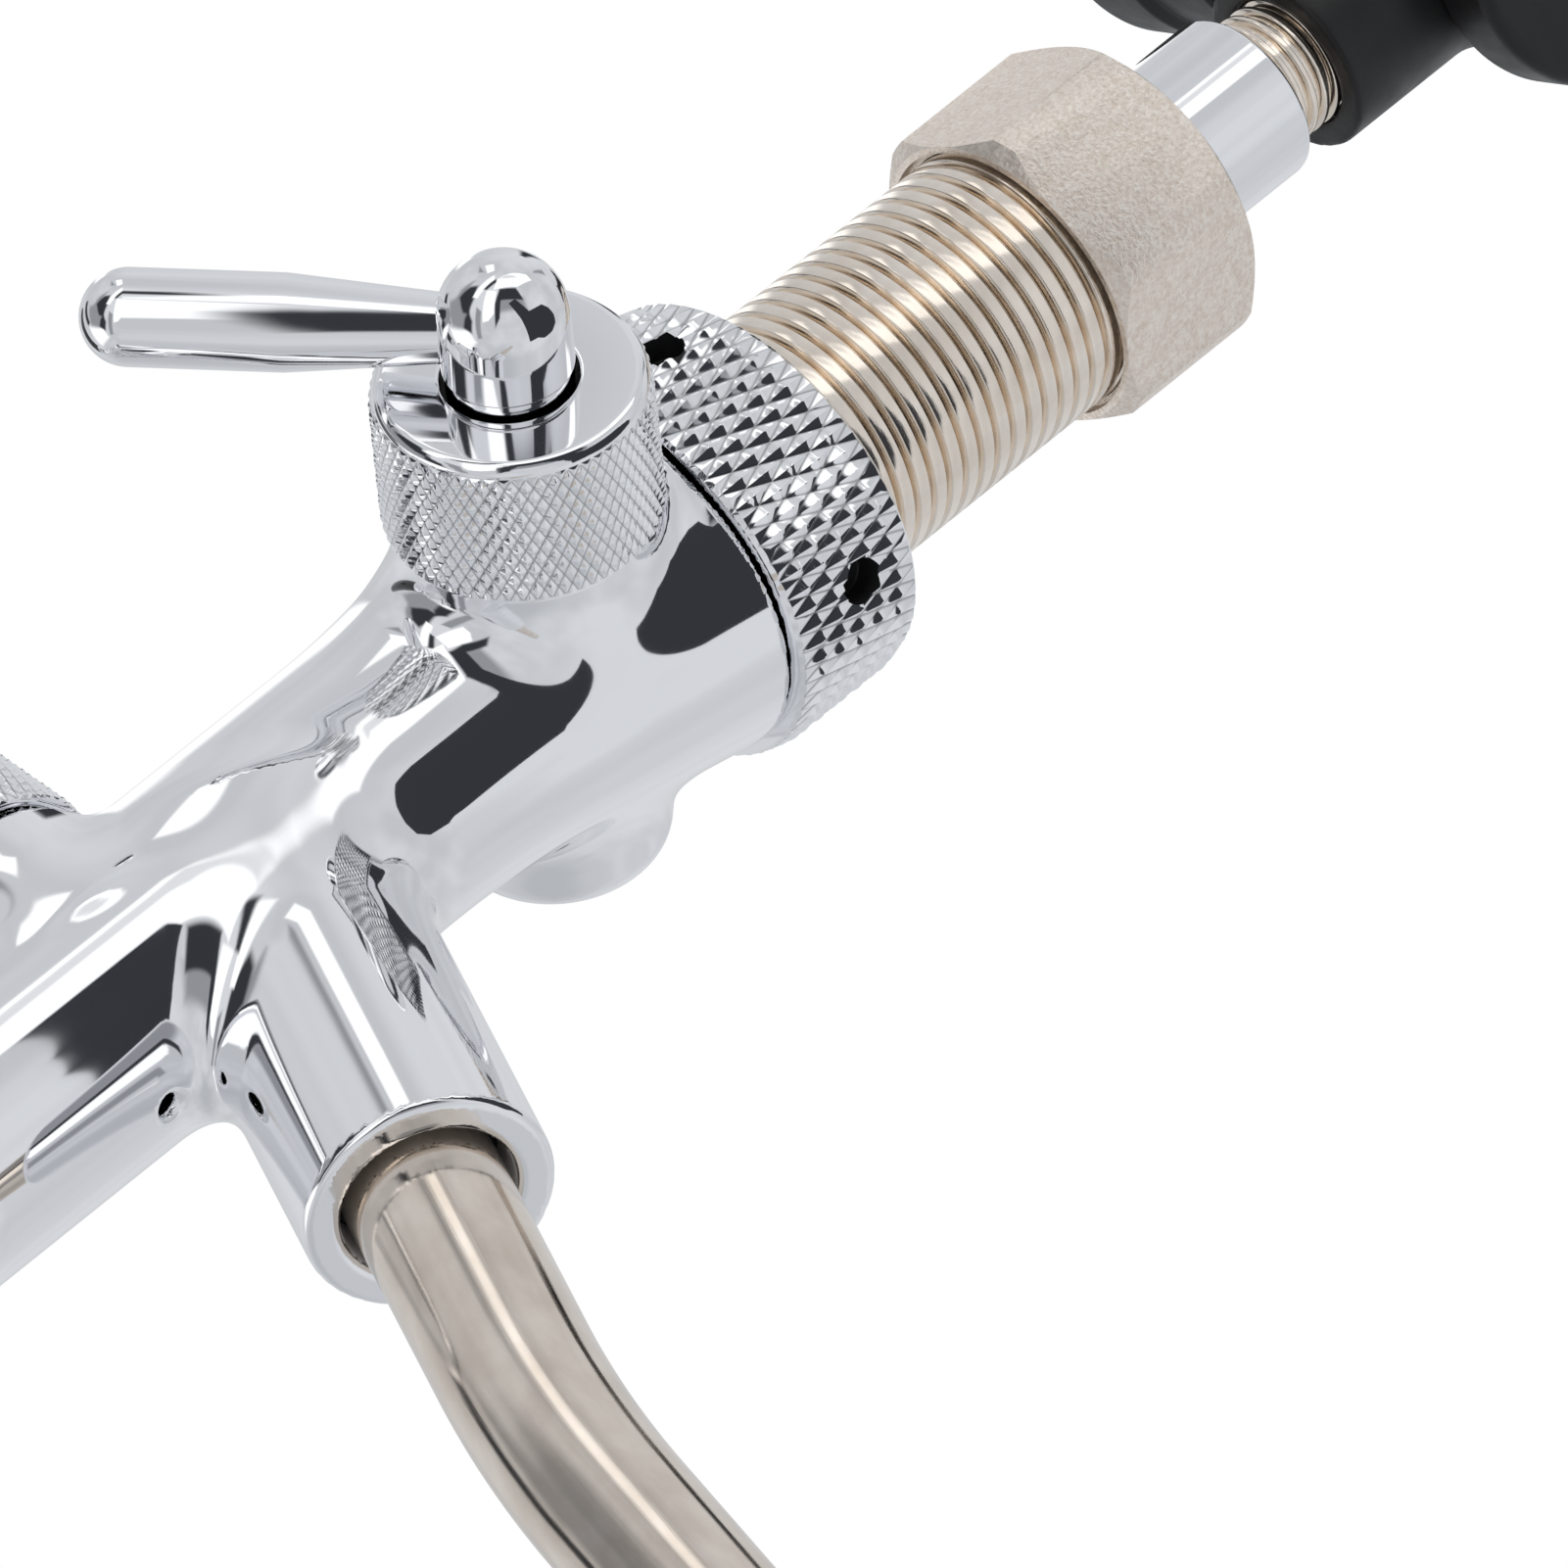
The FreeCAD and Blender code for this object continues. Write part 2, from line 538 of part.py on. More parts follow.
def make_union():
    """Union nut, tail and the washer between tail and shank."""
    blank = hexagon(NUT_ACROSS_FLATS, NUT_FRONT, NUT_REAR, ORIGIN, Y_AXIS)
    corner_drop = (NUT_CORNER_RADIUS - NUT_ACROSS_FLATS / 2) * 0.75
    trim = turned([
        (0, NUT_FRONT),
        (NUT_ACROSS_FLATS / 2, NUT_FRONT),
        (NUT_CORNER_RADIUS, NUT_FRONT + corner_drop),
        (NUT_CORNER_RADIUS, NUT_REAR - corner_drop),
        (NUT_ACROSS_FLATS / 2, NUT_REAR),
        (0, NUT_REAR),
    ], ORIGIN, Y_AXIS)
    bore = turned([
        (0, NUT_FRONT - 1),
        (NUT_MOUTH_RADIUS, NUT_FRONT - 1),
        (NUT_MOUTH_RADIUS, NUT_FRONT + NUT_MOUTH_DEPTH),
        (SHANK_RADIUS + THREAD_GAP, NUT_FRONT + NUT_MOUTH_DEPTH),
        (SHANK_RADIUS + THREAD_GAP, NUT_REAR - NUT_REAR_WALL),
        (TAIL_RADIUS + CURVED_GAP, NUT_REAR - NUT_REAR_WALL),
        (TAIL_RADIUS + CURVED_GAP, NUT_REAR + 1),
        (0, NUT_REAR + 1),
    ], ORIGIN, Y_AXIS)
    nut = blank.common(trim).cut(bore)
    thread_depth = NIPPLE_IN_TAIL + CURVED_GAP
    tail = turned([
        (TAIL_BORE_RADIUS, TAIL_FLANGE_FRONT),
        (TAIL_FLANGE_RADIUS, TAIL_FLANGE_FRONT),
        (TAIL_FLANGE_RADIUS, TAIL_FLANGE_REAR),
        (TAIL_RADIUS, TAIL_FLANGE_REAR),
        (TAIL_RADIUS, TAIL_END - TAIL_EDGE),
        (TAIL_RADIUS - TAIL_EDGE, TAIL_END),
        (NIPPLE_RADIUS + THREAD_GAP, TAIL_END),
        (NIPPLE_RADIUS + THREAD_GAP, TAIL_END - thread_depth),
        (TAIL_BORE_RADIUS, TAIL_END - thread_depth),
    ], ORIGIN, Y_AXIS)
    washer = ring(TAIL_FLANGE_RADIUS, SHANK_BORE_RADIUS, SHANK_END, TAIL_FLANGE_FRONT, ORIGIN, Y_AXIS)
    nipple = ring(NIPPLE_RADIUS, NIPPLE_BORE_RADIUS, TAIL_END - NIPPLE_IN_TAIL,
                  PORT_FACE + NIPPLE_IN_PORT, ORIGIN, Y_AXIS)
    return {"union_nut": nut, "tail_stub": tail, "tail_washer": washer, "flare_nipple": nipple}


def tube_path(start, end_trim):
    """Centre line of the spout tube: a straight run, one gentle bend and a straight run."""
    first = SPOUT_CENTRE + SPOUT_DIRECTION * start
    bend_start = SPOUT_CENTRE + SPOUT_DIRECTION * (SPOUT_BOSS_LENGTH + TUBE_FIRST_RUN)
    side = in_side_plane(SPOUT_ANGLE + 180)
    centre = bend_start - side * -TUBE_BEND_RADIUS
    arc = []
    for share in (0.5, 1.0):
        turn = FreeCAD.Rotation(X_AXIS, TUBE_BEND_ANGLE * share)
        arc.append(centre + turn.multVec(bend_start - centre))
    last_direction = FreeCAD.Rotation(X_AXIS, TUBE_BEND_ANGLE).multVec(SPOUT_DIRECTION)
    end = arc[1] + last_direction * (TUBE_LAST_RUN + end_trim)
    edges = [
        Part.LineSegment(first, bend_start).toShape(),
        Part.Arc(bend_start, arc[0], arc[1]).toShape(),
        Part.LineSegment(arc[1], end).toShape(),
    ]
    return Part.Wire(edges)


def swept_tube(radius, start, end_trim):
    """Round bar of this radius along the spout tube's centre line."""
    path = tube_path(start, end_trim)
    section = Part.makeCircle(radius, SPOUT_CENTRE + SPOUT_DIRECTION * start, SPOUT_DIRECTION)
    return path.makePipeShell([Part.Wire(section)], True, False)


def make_spout():
    """Bent outlet tube and the O-ring that seals it in its boss."""
    inner_end = SPOUT_BOSS_LENGTH - TUBE_INSERTION
    tube = swept_tube(TUBE_RADIUS, inner_end, 0)
    tube = tube.cut(swept_tube(TUBE_RADIUS - TUBE_WALL, inner_end - 1, 1))
    wire = (SPOUT_MOUTH_RADIUS - TUBE_RADIUS) / 2
    station = SPOUT_BOSS_LENGTH - SPOUT_MOUTH_DEPTH + wire
    seal = o_ring(TUBE_RADIUS, SPOUT_MOUTH_RADIUS, station, SPOUT_CENTRE, SPOUT_DIRECTION)
    return {"spout_tube": tube, "spout_o_ring": seal}


def make_flow_control():
    """Cross shaft with its eccentric, washer, gland cap, lever and compensator."""
    lever_direction = in_side_plane(FLOW_LEVER_FORWARD_ANGLE)
    eccentric_direction = FreeCAD.Vector(0, lever_direction.z, -lever_direction.y)
    journal_start = YOKE_HALF_THICKNESS + CURVED_GAP
    flange_start = FLOW_NECK_REACH - FLOW_WASHER_THICKNESS - FLOW_FLANGE_THICKNESS
    shaft = turned([
        (0, journal_start),
        (FLOW_SHAFT_RADIUS, journal_start),
        (FLOW_SHAFT_RADIUS, flange_start),
        (FLOW_FLANGE_RADIUS, flange_start),
        (FLOW_FLANGE_RADIUS, flange_start + FLOW_FLANGE_THICKNESS),
        (FLOW_SHAFT_RADIUS, flange_start + FLOW_FLANGE_THICKNESS),
        (FLOW_SHAFT_RADIUS, FLOW_HUB_START),
        (FLOW_STUD_RADIUS, FLOW_HUB_START),
        (FLOW_STUD_RADIUS, FLOW_STUD_END),
        (0, FLOW_STUD_END),
    ], FLOW_CENTRE, X_AXIS)
    journal = rod(FLOW_JOURNAL_RADIUS, -FLOW_JOURNAL_REACH, -journal_start, FLOW_CENTRE, X_AXIS)
    eccentric_centre = FLOW_CENTRE + eccentric_direction * FLOW_ECCENTRIC_OFFSET
    eccentric = rod(FLOW_ECCENTRIC_RADIUS, -journal_start, journal_start, eccentric_centre, X_AXIS)
    shaft = shaft.fuse([journal, eccentric]).removeSplitter()

    washer = ring(FLOW_FLANGE_RADIUS, FLOW_SHAFT_RADIUS + THREAD_GAP, FLOW_NECK_REACH - FLOW_WASHER_THICKNESS,
                  FLOW_NECK_REACH, FLOW_CENTRE, X_AXIS)
    hole = FLOW_SHAFT_RADIUS + FLOW_CAP_HOLE_GAP
    cap = turned([
        (FLOW_NECK_RADIUS + THREAD_GAP, FLOW_CAP_START),
        (FLOW_CAP_RADIUS, FLOW_CAP_START),
        (FLOW_CAP_RADIUS, FLOW_CAP_KNURL_END),
        (FLOW_CAP_TOP_RADIUS, FLOW_CAP_TOP),
        (hole, FLOW_CAP_TOP),
        (hole, FLOW_NECK_REACH),
        (FLOW_NECK_RADIUS + THREAD_GAP, FLOW_NECK_REACH),
    ], FLOW_CENTRE, X_AXIS)

    quarter = math.sqrt(0.5)
    hub_shoulder = FLOW_HUB_TOP - FLOW_HUB_DOME
    hub = turned([
        (0, FLOW_HUB_START),
        (FLOW_HUB_RADIUS, FLOW_HUB_START),
        (FLOW_HUB_RADIUS, hub_shoulder),
        (FLOW_HUB_RADIUS * quarter, hub_shoulder + FLOW_HUB_DOME * quarter, 0, FLOW_HUB_TOP),
    ], FLOW_CENTRE, X_AXIS)
    stud_hole = rod(FLOW_STUD_RADIUS + THREAD_GAP, FLOW_HUB_START, FLOW_STUD_END, FLOW_CENTRE, X_AXIS)
    rod_base = FLOW_CENTRE + X_AXIS * FLOW_ROD_HEIGHT
    tenon_hole = rod(FLOW_ROD_TENON_RADIUS + THREAD_GAP, 0, FLOW_HUB_RADIUS + 1, rod_base, lever_direction)
    hub = hub.cut([stud_hole, tenon_hole])

    round_end = FLOW_ROD_REACH - FLOW_ROD_TIP_RADIUS
    lever = turned([
        (0, CURVED_GAP),
        (FLOW_ROD_TENON_RADIUS, CURVED_GAP),
        (FLOW_ROD_TENON_RADIUS, FLOW_HUB_RADIUS + THREAD_GAP),
        (FLOW_ROD_NECK_RADIUS, FLOW_HUB_RADIUS + THREAD_GAP),
        (FLOW_ROD_TIP_RADIUS, FLOW_ROD_TAPER_END),
        (FLOW_ROD_TIP_RADIUS, round_end),
        (FLOW_ROD_TIP_RADIUS * quarter, round_end + FLOW_ROD_TIP_RADIUS * quarter, 0, FLOW_ROD_REACH),
    ], rod_base, lever_direction)

    return {"flow_shaft": shaft, "flow_washer": washer, "flow_cap": cap, "flow_lever_hub": hub,
            "flow_lever": lever, "flow_compensator": make_compensator()}


def make_compensator():
    """Yoke round the eccentric, joined by a short neck to the tapered plug in the shank's flare."""
    rest = 1 - 2 * FLOW_LEVER_FORWARD_ANGLE / FLOW_LEVER_SWING
    yoke_centre = FLOW_CENTRE + Y_AXIS * (FLOW_ECCENTRIC_OFFSET * rest)
    half_width = FLOW_ECCENTRIC_RADIUS + YOKE_SLOT_GAP
    half_height = FLOW_ECCENTRIC_OFFSET + FLOW_ECCENTRIC_RADIUS + YOKE_END_GAP
    outer_width = half_width + YOKE_BAR
    outer_height = half_height + YOKE_BAR
    corner = yoke_centre + FreeCAD.Vector(-YOKE_HALF_THICKNESS, -outer_width, -outer_height)
    yoke = Part.makeBox(2 * YOKE_HALF_THICKNESS, 2 * outer_width, 2 * outer_height, corner)
    corner = yoke_centre + FreeCAD.Vector(-YOKE_HALF_THICKNESS - 1, -half_width, -half_height)
    slot = Part.makeBox(2 * YOKE_HALF_THICKNESS + 2, 2 * half_width, 2 * half_height, corner)
    guide = rod(CHAMBER_RADIUS - CURVED_GAP, -outer_width - 1, outer_width + 1, yoke_centre, Y_AXIS)
    yoke = yoke.common(guide).cut(slot)
    rear_travel = FLOW_ECCENTRIC_OFFSET * (1 - rest)
    cone_start = SHANK_FLANGE_FRONT - rear_travel
    flare_slope = (CONE_FRONT_RADIUS + CONE_MIN_GAP - SHANK_BORE_RADIUS) / SHANK_FLARE_DEPTH
    neck_start = yoke_centre.y + half_width + YOKE_BAR / 2
    plug = turned([
        (0, neck_start),
        (CONE_NECK_RADIUS, neck_start),
        (CONE_NECK_RADIUS, cone_start - CONE_BAND),
        (CONE_FRONT_RADIUS, cone_start - CONE_BAND),
        (CONE_FRONT_RADIUS, cone_start),
        (CONE_FRONT_RADIUS - flare_slope * CONE_LENGTH, cone_start + CONE_LENGTH),
        (0, cone_start + CONE_LENGTH),
    ], ORIGIN, Y_AXIS)
    return yoke.fuse(plug).removeSplitter()


def make_handle():
    """Ball lever, its two seats, the bonnet that holds them, and the grip."""
    swept = BALL_RADIUS + BALL_GAP
    lower_top = math.sqrt(swept ** 2 - LOWER_SEAT_TOP ** 2)
    lower_bottom = -math.sqrt(swept ** 2 - NECK_PASSAGE_RADIUS ** 2)
    middle_angle = (math.atan2(lower_bottom, NECK_PASSAGE_RADIUS) + math.atan2(-LOWER_SEAT_TOP, lower_top)) / 2
    lower = turned([
        (NECK_PASSAGE_RADIUS, -LOWER_SEAT_BOTTOM),
        (NECK_BORE_RADIUS - THREAD_GAP, -LOWER_SEAT_BOTTOM),
        (NECK_BORE_RADIUS - THREAD_GAP, -LOWER_SEAT_TOP),
        (lower_top, -LOWER_SEAT_TOP),
        (swept * math.cos(middle_angle), swept * math.sin(middle_angle), NECK_PASSAGE_RADIUS, lower_bottom),
    ], HANDLE_CENTRE, BONNET_DIRECTION)
    upper_low = math.sqrt(swept ** 2 - UPPER_SEAT_BOTTOM ** 2)
    upper_high = math.sqrt(swept ** 2 - UPPER_SEAT_HOLE ** 2)
    middle_angle = (math.atan2(upper_high, UPPER_SEAT_HOLE) + math.atan2(UPPER_SEAT_BOTTOM, upper_low)) / 2
    upper = turned([
        (UPPER_SEAT_HOLE, UPPER_SEAT_TOP),
        (UPPER_SEAT_HOLE, upper_high),
        (swept * math.cos(middle_angle), swept * math.sin(middle_angle), upper_low, UPPER_SEAT_BOTTOM),
        (UPPER_SEAT_RADIUS, UPPER_SEAT_BOTTOM),
        (UPPER_SEAT_RADIUS, UPPER_SEAT_TOP),
    ], HANDLE_CENTRE, BONNET_DIRECTION)
    bevel = BONNET_BEVEL * (1 - math.sqrt(0.5))
    bonnet = turned([
        (NECK_RADIUS + THREAD_GAP, -BONNET_SKIRT_DROP),
        (BONNET_RADIUS, -BONNET_SKIRT_DROP),
        (BONNET_RADIUS, BONNET_HEIGHT - BONNET_BEVEL),
        (BONNET_RADIUS - bevel, BONNET_HEIGHT - bevel, BONNET_RADIUS - BONNET_BEVEL, BONNET_HEIGHT),
        (BONNET_HOLE_RADIUS, BONNET_HEIGHT),
        (BONNET_HOLE_RADIUS, UPPER_SEAT_TOP),
        (UPPER_SEAT_RADIUS + THREAD_GAP, UPPER_SEAT_TOP),
        (UPPER_SEAT_RADIUS + THREAD_GAP, NECK_RISE),
        (NECK_RADIUS + THREAD_GAP, NECK_RISE),
    ], HANDLE_CENTRE, BONNET_DIRECTION)

    grip_start = FERRULE_START + FERRULE_LENGTH
    lever = Part.makeSphere(BALL_RADIUS, HANDLE_CENTRE)
    stud = rod(LEVER_ROD_RADIUS, 0, grip_start + GRIP_STUD_LENGTH, HANDLE_CENTRE, LEVER_DIRECTION)
    finger = rod(FINGER_NECK_RADIUS, -FINGER_LENGTH, 0, HANDLE_CENTRE, LEVER_DIRECTION)
    tip = Part.makeSphere(FINGER_BALL_RADIUS, FINGER_TIP)
    lever = lever.fuse([stud, finger, tip]).removeSplitter()

    bore = LEVER_ROD_RADIUS + THREAD_GAP
    ferrule = turned([
        (bore, FERRULE_START),
        (FERRULE_BOTTOM_RADIUS, FERRULE_START),
        (FERRULE_BOTTOM_RADIUS, FERRULE_START + FERRULE_LENGTH / 4),
        (FERRULE_TOP_RADIUS, grip_start - FERRULE_LENGTH / 4),
        (FERRULE_TOP_RADIUS, grip_start),
        (bore, grip_start),
    ], HANDLE_CENTRE, LEVER_DIRECTION)

    head = grip_start + GRIP_LENGTH - GRIP_HEAD_RADIUS
    quarter = math.sqrt(0.5)
    floor = grip_start + GRIP_STUD_LENGTH + CURVED_GAP
    middle = (grip_start + head) / 2
    belly = (GRIP_WAIST_RADIUS + GRIP_HEAD_RADIUS) / 2 + GRIP_LENGTH / 100
    grip = turned([
        (bore, grip_start),
        (GRIP_WAIST_RADIUS, grip_start),
        (belly, middle, GRIP_HEAD_RADIUS, head),
        (GRIP_HEAD_RADIUS * quarter, head + GRIP_HEAD_RADIUS * quarter, 0, head + GRIP_HEAD_RADIUS),
        (0, floor),
        (bore, floor),
    ], HANDLE_CENTRE, LEVER_DIRECTION)
    return {"lower_ball_seat": lower, "upper_ball_seat": upper, "handle_bonnet": bonnet,
            "handle_lever": lever, "handle_ferrule": ferrule, "handle_grip": grip}


def make_valve():
    """Sliding stem with its guide block, the sealing washer and its nut."""
    guide_centre = FINGER_TIP.y
    guide_rear = guide_centre + STEM_GUIDE_HALF_LENGTH
    guide_front = guide_centre - STEM_GUIDE_HALF_LENGTH
    guide_radius = WATERWAY_RADIUS - STEM_GUIDE_GAP
    guide = rod(guide_radius, guide_front, guide_rear, ORIGIN, Y_AXIS)
    height = STEM_GUIDE_TOP + STEM_GUIDE_BOTTOM
    corner = FreeCAD.Vector(-guide_radius, guide_front, -STEM_GUIDE_BOTTOM)
    guide = guide.common(Part.makeBox(2 * guide_radius, guide_rear - guide_front, height, corner))
    half_slot = FINGER_BALL_RADIUS + FINGER_SLOT_GAP
    corner = FreeCAD.Vector(-half_slot, guide_centre - half_slot, -FINGER_SLOT_FLOOR)
    slot = Part.makeBox(2 * half_slot, 2 * half_slot, FINGER_SLOT_FLOOR + STEM_GUIDE_TOP + 1, corner)
    guide = guide.cut(slot)
    stud_end = SEAT_Y + WASHER_THICKNESS + STEM_NUT_HEIGHT + STEM_STUD_RADIUS / 2
    stem = turned([
        (0, guide_rear),
        (STEM_RADIUS, guide_rear),
        (STEM_RADIUS, SEAT_Y - STEM_DISC_THICKNESS),
        (STEM_DISC_RADIUS, SEAT_Y - STEM_DISC_THICKNESS),
        (STEM_DISC_RADIUS, SEAT_Y),
        (STEM_STUD_RADIUS, SEAT_Y),
        (STEM_STUD_RADIUS, stud_end),
        (0, stud_end),
    ], ORIGIN, Y_AXIS)
    stem = stem.fuse(guide).removeSplitter()
    bore = STEM_STUD_RADIUS + THREAD_GAP
    washer = ring(WASHER_RADIUS, bore, SEAT_Y, SEAT_Y + WASHER_THICKNESS, ORIGIN, Y_AXIS)
    nut_front = SEAT_Y + WASHER_THICKNESS
    nut_rear = nut_front + STEM_NUT_HEIGHT
    nut = hexagon(STEM_NUT_ACROSS_FLATS, nut_front, nut_rear, ORIGIN, Y_AXIS)
    nut = nut.cut(rod(bore, nut_front - 1, nut_rear + 1, ORIGIN, Y_AXIS))
    return {"valve_stem": stem, "valve_washer": washer, "stem_nut": nut}


def make_disconnect():
    """Keg disconnect: body with its side port, cap, sleeve, springs, balls, poppet and seals."""
    centre = DISCONNECT_CENTRE
    along = DISCONNECT_DIRECTION
    barrel = turned([
        (0, -DISCONNECT_TOP),
        (DISCONNECT_RADIUS, -DISCONNECT_TOP),
        (DISCONNECT_RADIUS, DISCONNECT_SHOULDER),
        (DISCONNECT_SKIRT_RADIUS, DISCONNECT_SHOULDER),
        (DISCONNECT_SKIRT_RADIUS, DISCONNECT_MOUTH),
        (0, DISCONNECT_MOUTH),
    ], centre, along)
    port = rod(PORT_RADIUS, PORT_FACE, DISCONNECT_Y, ORIGIN, Y_AXIS)
    bulkhead = SOCKET_FLOOR - BULKHEAD_THICKNESS
    hollow = turned([
        (0, -DISCONNECT_TOP - 1),
        (POPPET_CHAMBER_RADIUS, -DISCONNECT_TOP - 1),
        (POPPET_CHAMBER_RADIUS, bulkhead),
        (POPPET_HOLE_RADIUS, bulkhead),
        (POPPET_HOLE_RADIUS, SOCKET_FLOOR),
        (SOCKET_RADIUS, SOCKET_FLOOR),
        (SOCKET_RADIUS, DISCONNECT_MOUTH + 1),
        (0, DISCONNECT_MOUTH + 1),
    ], centre, along)
    insert = rod(NIPPLE_RADIUS + THREAD_GAP, PORT_FACE - 1, PORT_FACE + NIPPLE_IN_PORT, ORIGIN, Y_AXIS)
    port_bore = rod(PORT_BORE_RADIUS, PORT_FACE, DISCONNECT_Y, ORIGIN, Y_AXIS)
    across = along.cross(Y_AXIS)
    ball_radius = DISCONNECT_SKIRT_RADIUS + SLEEVE_GUIDE_GAP - CURVED_GAP - LOCK_BALL_RADIUS
    pockets = []
    balls = []
    for index in range(LOCK_BALL_COUNT):
        turn = FreeCAD.Rotation(along, 360 * index / LOCK_BALL_COUNT)
        outward = turn.multVec(across)
        start = centre + along * LOCK_BALL_STATION
        pocket = rod(LOCK_BALL_RADIUS + LOCK_BALL_POCKET_GAP, SOCKET_RADIUS - LOCK_BALL_RADIUS,
                     DISCONNECT_SKIRT_RADIUS + 1, start, outward)
        pockets.append(pocket)
        balls.append(Part.makeSphere(LOCK_BALL_RADIUS, start + outward * ball_radius))
    body = barrel.fuse(port).removeSplitter().cut([hollow, insert, port_bore] + pockets)

    edge = DISCONNECT_CAP_EDGE * (1 - math.sqrt(0.5))
    cap_top = -DISCONNECT_TOP - DISCONNECT_CAP_THICKNESS
    cap = turned([
        (0, cap_top),
        (DISCONNECT_CAP_RADIUS - DISCONNECT_CAP_EDGE, cap_top),
        (DISCONNECT_CAP_RADIUS - edge, cap_top + edge, DISCONNECT_CAP_RADIUS, cap_top + DISCONNECT_CAP_EDGE),
        (DISCONNECT_CAP_RADIUS, -DISCONNECT_TOP),
        (POPPET_CHAMBER_RADIUS - THREAD_GAP, -DISCONNECT_TOP),
        (POPPET_CHAMBER_RADIUS - THREAD_GAP, -DISCONNECT_TOP + CAP_SPIGOT_LENGTH),
        (0, -DISCONNECT_TOP + CAP_SPIGOT_LENGTH),
    ], centre, along)

    guide = DISCONNECT_SKIRT_RADIUS + SLEEVE_GUIDE_GAP
    sleeve = turned([
        (SLEEVE_SPRING_RADIUS, SLEEVE_START),
        (SLEEVE_RADIUS, SLEEVE_START),
        (SLEEVE_RADIUS, SLEEVE_LIP_START),
        (SLEEVE_LIP_RADIUS, SLEEVE_LIP_START + SLEEVE_LIP_RADIUS - SLEEVE_RADIUS),
        (SLEEVE_LIP_RADIUS, SLEEVE_END),
        (SLEEVE_RELIEF_RADIUS, SLEEVE_END),
        (SLEEVE_RELIEF_RADIUS, SLEEVE_GUIDE_END + SLEEVE_RELIEF_RADIUS - guide),
        (guide, SLEEVE_GUIDE_END),
        (guide, SLEEVE_GUIDE_START),
        (SLEEVE_SPRING_RADIUS, SLEEVE_GUIDE_START),
    ], centre, along)
    spring_radius = DISCONNECT_SKIRT_RADIUS + CURVED_GAP + SLEEVE_SPRING_WIRE
    sleeve_spring = coil(spring_radius, SLEEVE_SPRING_WIRE, SLEEVE_SPRING_TURNS,
                         DISCONNECT_SHOULDER, SLEEVE_GUIDE_START, centre, along)

    head_end = bulkhead - POPPET_SEAL_THICKNESS
    poppet = turned([
        (0, head_end - POPPET_HEAD_THICKNESS),
        (POPPET_HEAD_RADIUS, head_end - POPPET_HEAD_THICKNESS),
        (POPPET_HEAD_RADIUS, head_end),
        (POPPET_ROD_RADIUS, head_end),
        (POPPET_ROD_RADIUS, SOCKET_FLOOR + POPPET_REACH),
        (0, SOCKET_FLOOR + POPPET_REACH),
    ], centre, along)
    seal = ring(POPPET_HEAD_RADIUS, POPPET_ROD_RADIUS + THREAD_GAP, head_end, bulkhead, centre, along)
    poppet_spring = coil(POPPET_SPRING_RADIUS, POPPET_SPRING_WIRE, POPPET_SPRING_TURNS,
                         -DISCONNECT_TOP + CAP_SPIGOT_LENGTH, head_end - POPPET_HEAD_THICKNESS,
                         centre, along)
    post_seal = ring(SOCKET_RADIUS - THREAD_GAP, POST_SEAL_HOLE, SOCKET_FLOOR,
                     SOCKET_FLOOR + POST_SEAL_THICKNESS, centre, along)
    return {"disconnect_body": body, "disconnect_cap": cap, "disconnect_sleeve": sleeve,
            "sleeve_spring": sleeve_spring, "lock_balls": Part.makeCompound(balls), "poppet_pin": poppet,
            "poppet_seal": seal, "poppet_spring": poppet_spring, "post_seal": post_seal}


def main():
    """Build every sub-part and write one STEP file each."""
    os.makedirs("parts", exist_ok=True)
    makers = [make_body, make_coupling, make_union, make_spout, make_flow_control, make_handle,
              make_valve, make_disconnect]
    for maker in makers:
        for name, shape in maker().items():
            shape.exportStep("parts/" + name + ".step")
            print(name, len(shape.Solids), "solid(s)", round(shape.Volume, 1), "mm3", shape.isValid())


main()
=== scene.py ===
# %% [markdown]
# # A chrome beer faucet with a flow-control lever
# This script dresses a finished CAD model. The CAD gives every piece its place and its size, and Blender adds
# what CAD leaves plain: smooth castings, knurls, threads and the finish of each metal and plastic.
# The first step loads the CAD model. Its pieces never move, so all that is built here fits round them.

# %% Load the CAD model and keep its box
import json
import math

import bmesh
import bpy
import numpy as np
from mathutils import Matrix, Vector

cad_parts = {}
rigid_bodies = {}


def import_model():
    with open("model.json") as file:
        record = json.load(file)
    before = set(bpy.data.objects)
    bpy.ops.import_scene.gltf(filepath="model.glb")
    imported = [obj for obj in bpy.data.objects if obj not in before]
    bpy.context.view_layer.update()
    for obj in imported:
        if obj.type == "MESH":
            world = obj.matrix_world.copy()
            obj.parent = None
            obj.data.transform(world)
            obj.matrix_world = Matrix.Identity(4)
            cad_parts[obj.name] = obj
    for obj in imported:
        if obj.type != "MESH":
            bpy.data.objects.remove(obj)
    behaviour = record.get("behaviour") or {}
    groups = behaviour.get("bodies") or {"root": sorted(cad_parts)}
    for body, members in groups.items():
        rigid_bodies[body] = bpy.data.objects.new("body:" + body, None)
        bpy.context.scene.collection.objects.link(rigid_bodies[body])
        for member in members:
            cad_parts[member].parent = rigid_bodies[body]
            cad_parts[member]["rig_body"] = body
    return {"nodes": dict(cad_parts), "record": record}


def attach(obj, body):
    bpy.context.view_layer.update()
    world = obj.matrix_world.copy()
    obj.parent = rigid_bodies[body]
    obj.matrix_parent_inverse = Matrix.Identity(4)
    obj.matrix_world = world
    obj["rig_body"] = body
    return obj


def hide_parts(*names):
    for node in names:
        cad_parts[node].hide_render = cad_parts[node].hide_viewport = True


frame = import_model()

for name in ("Cube", "Light", "Camera"):
    if name in bpy.data.objects:
        bpy.data.objects.remove(bpy.data.objects[name])
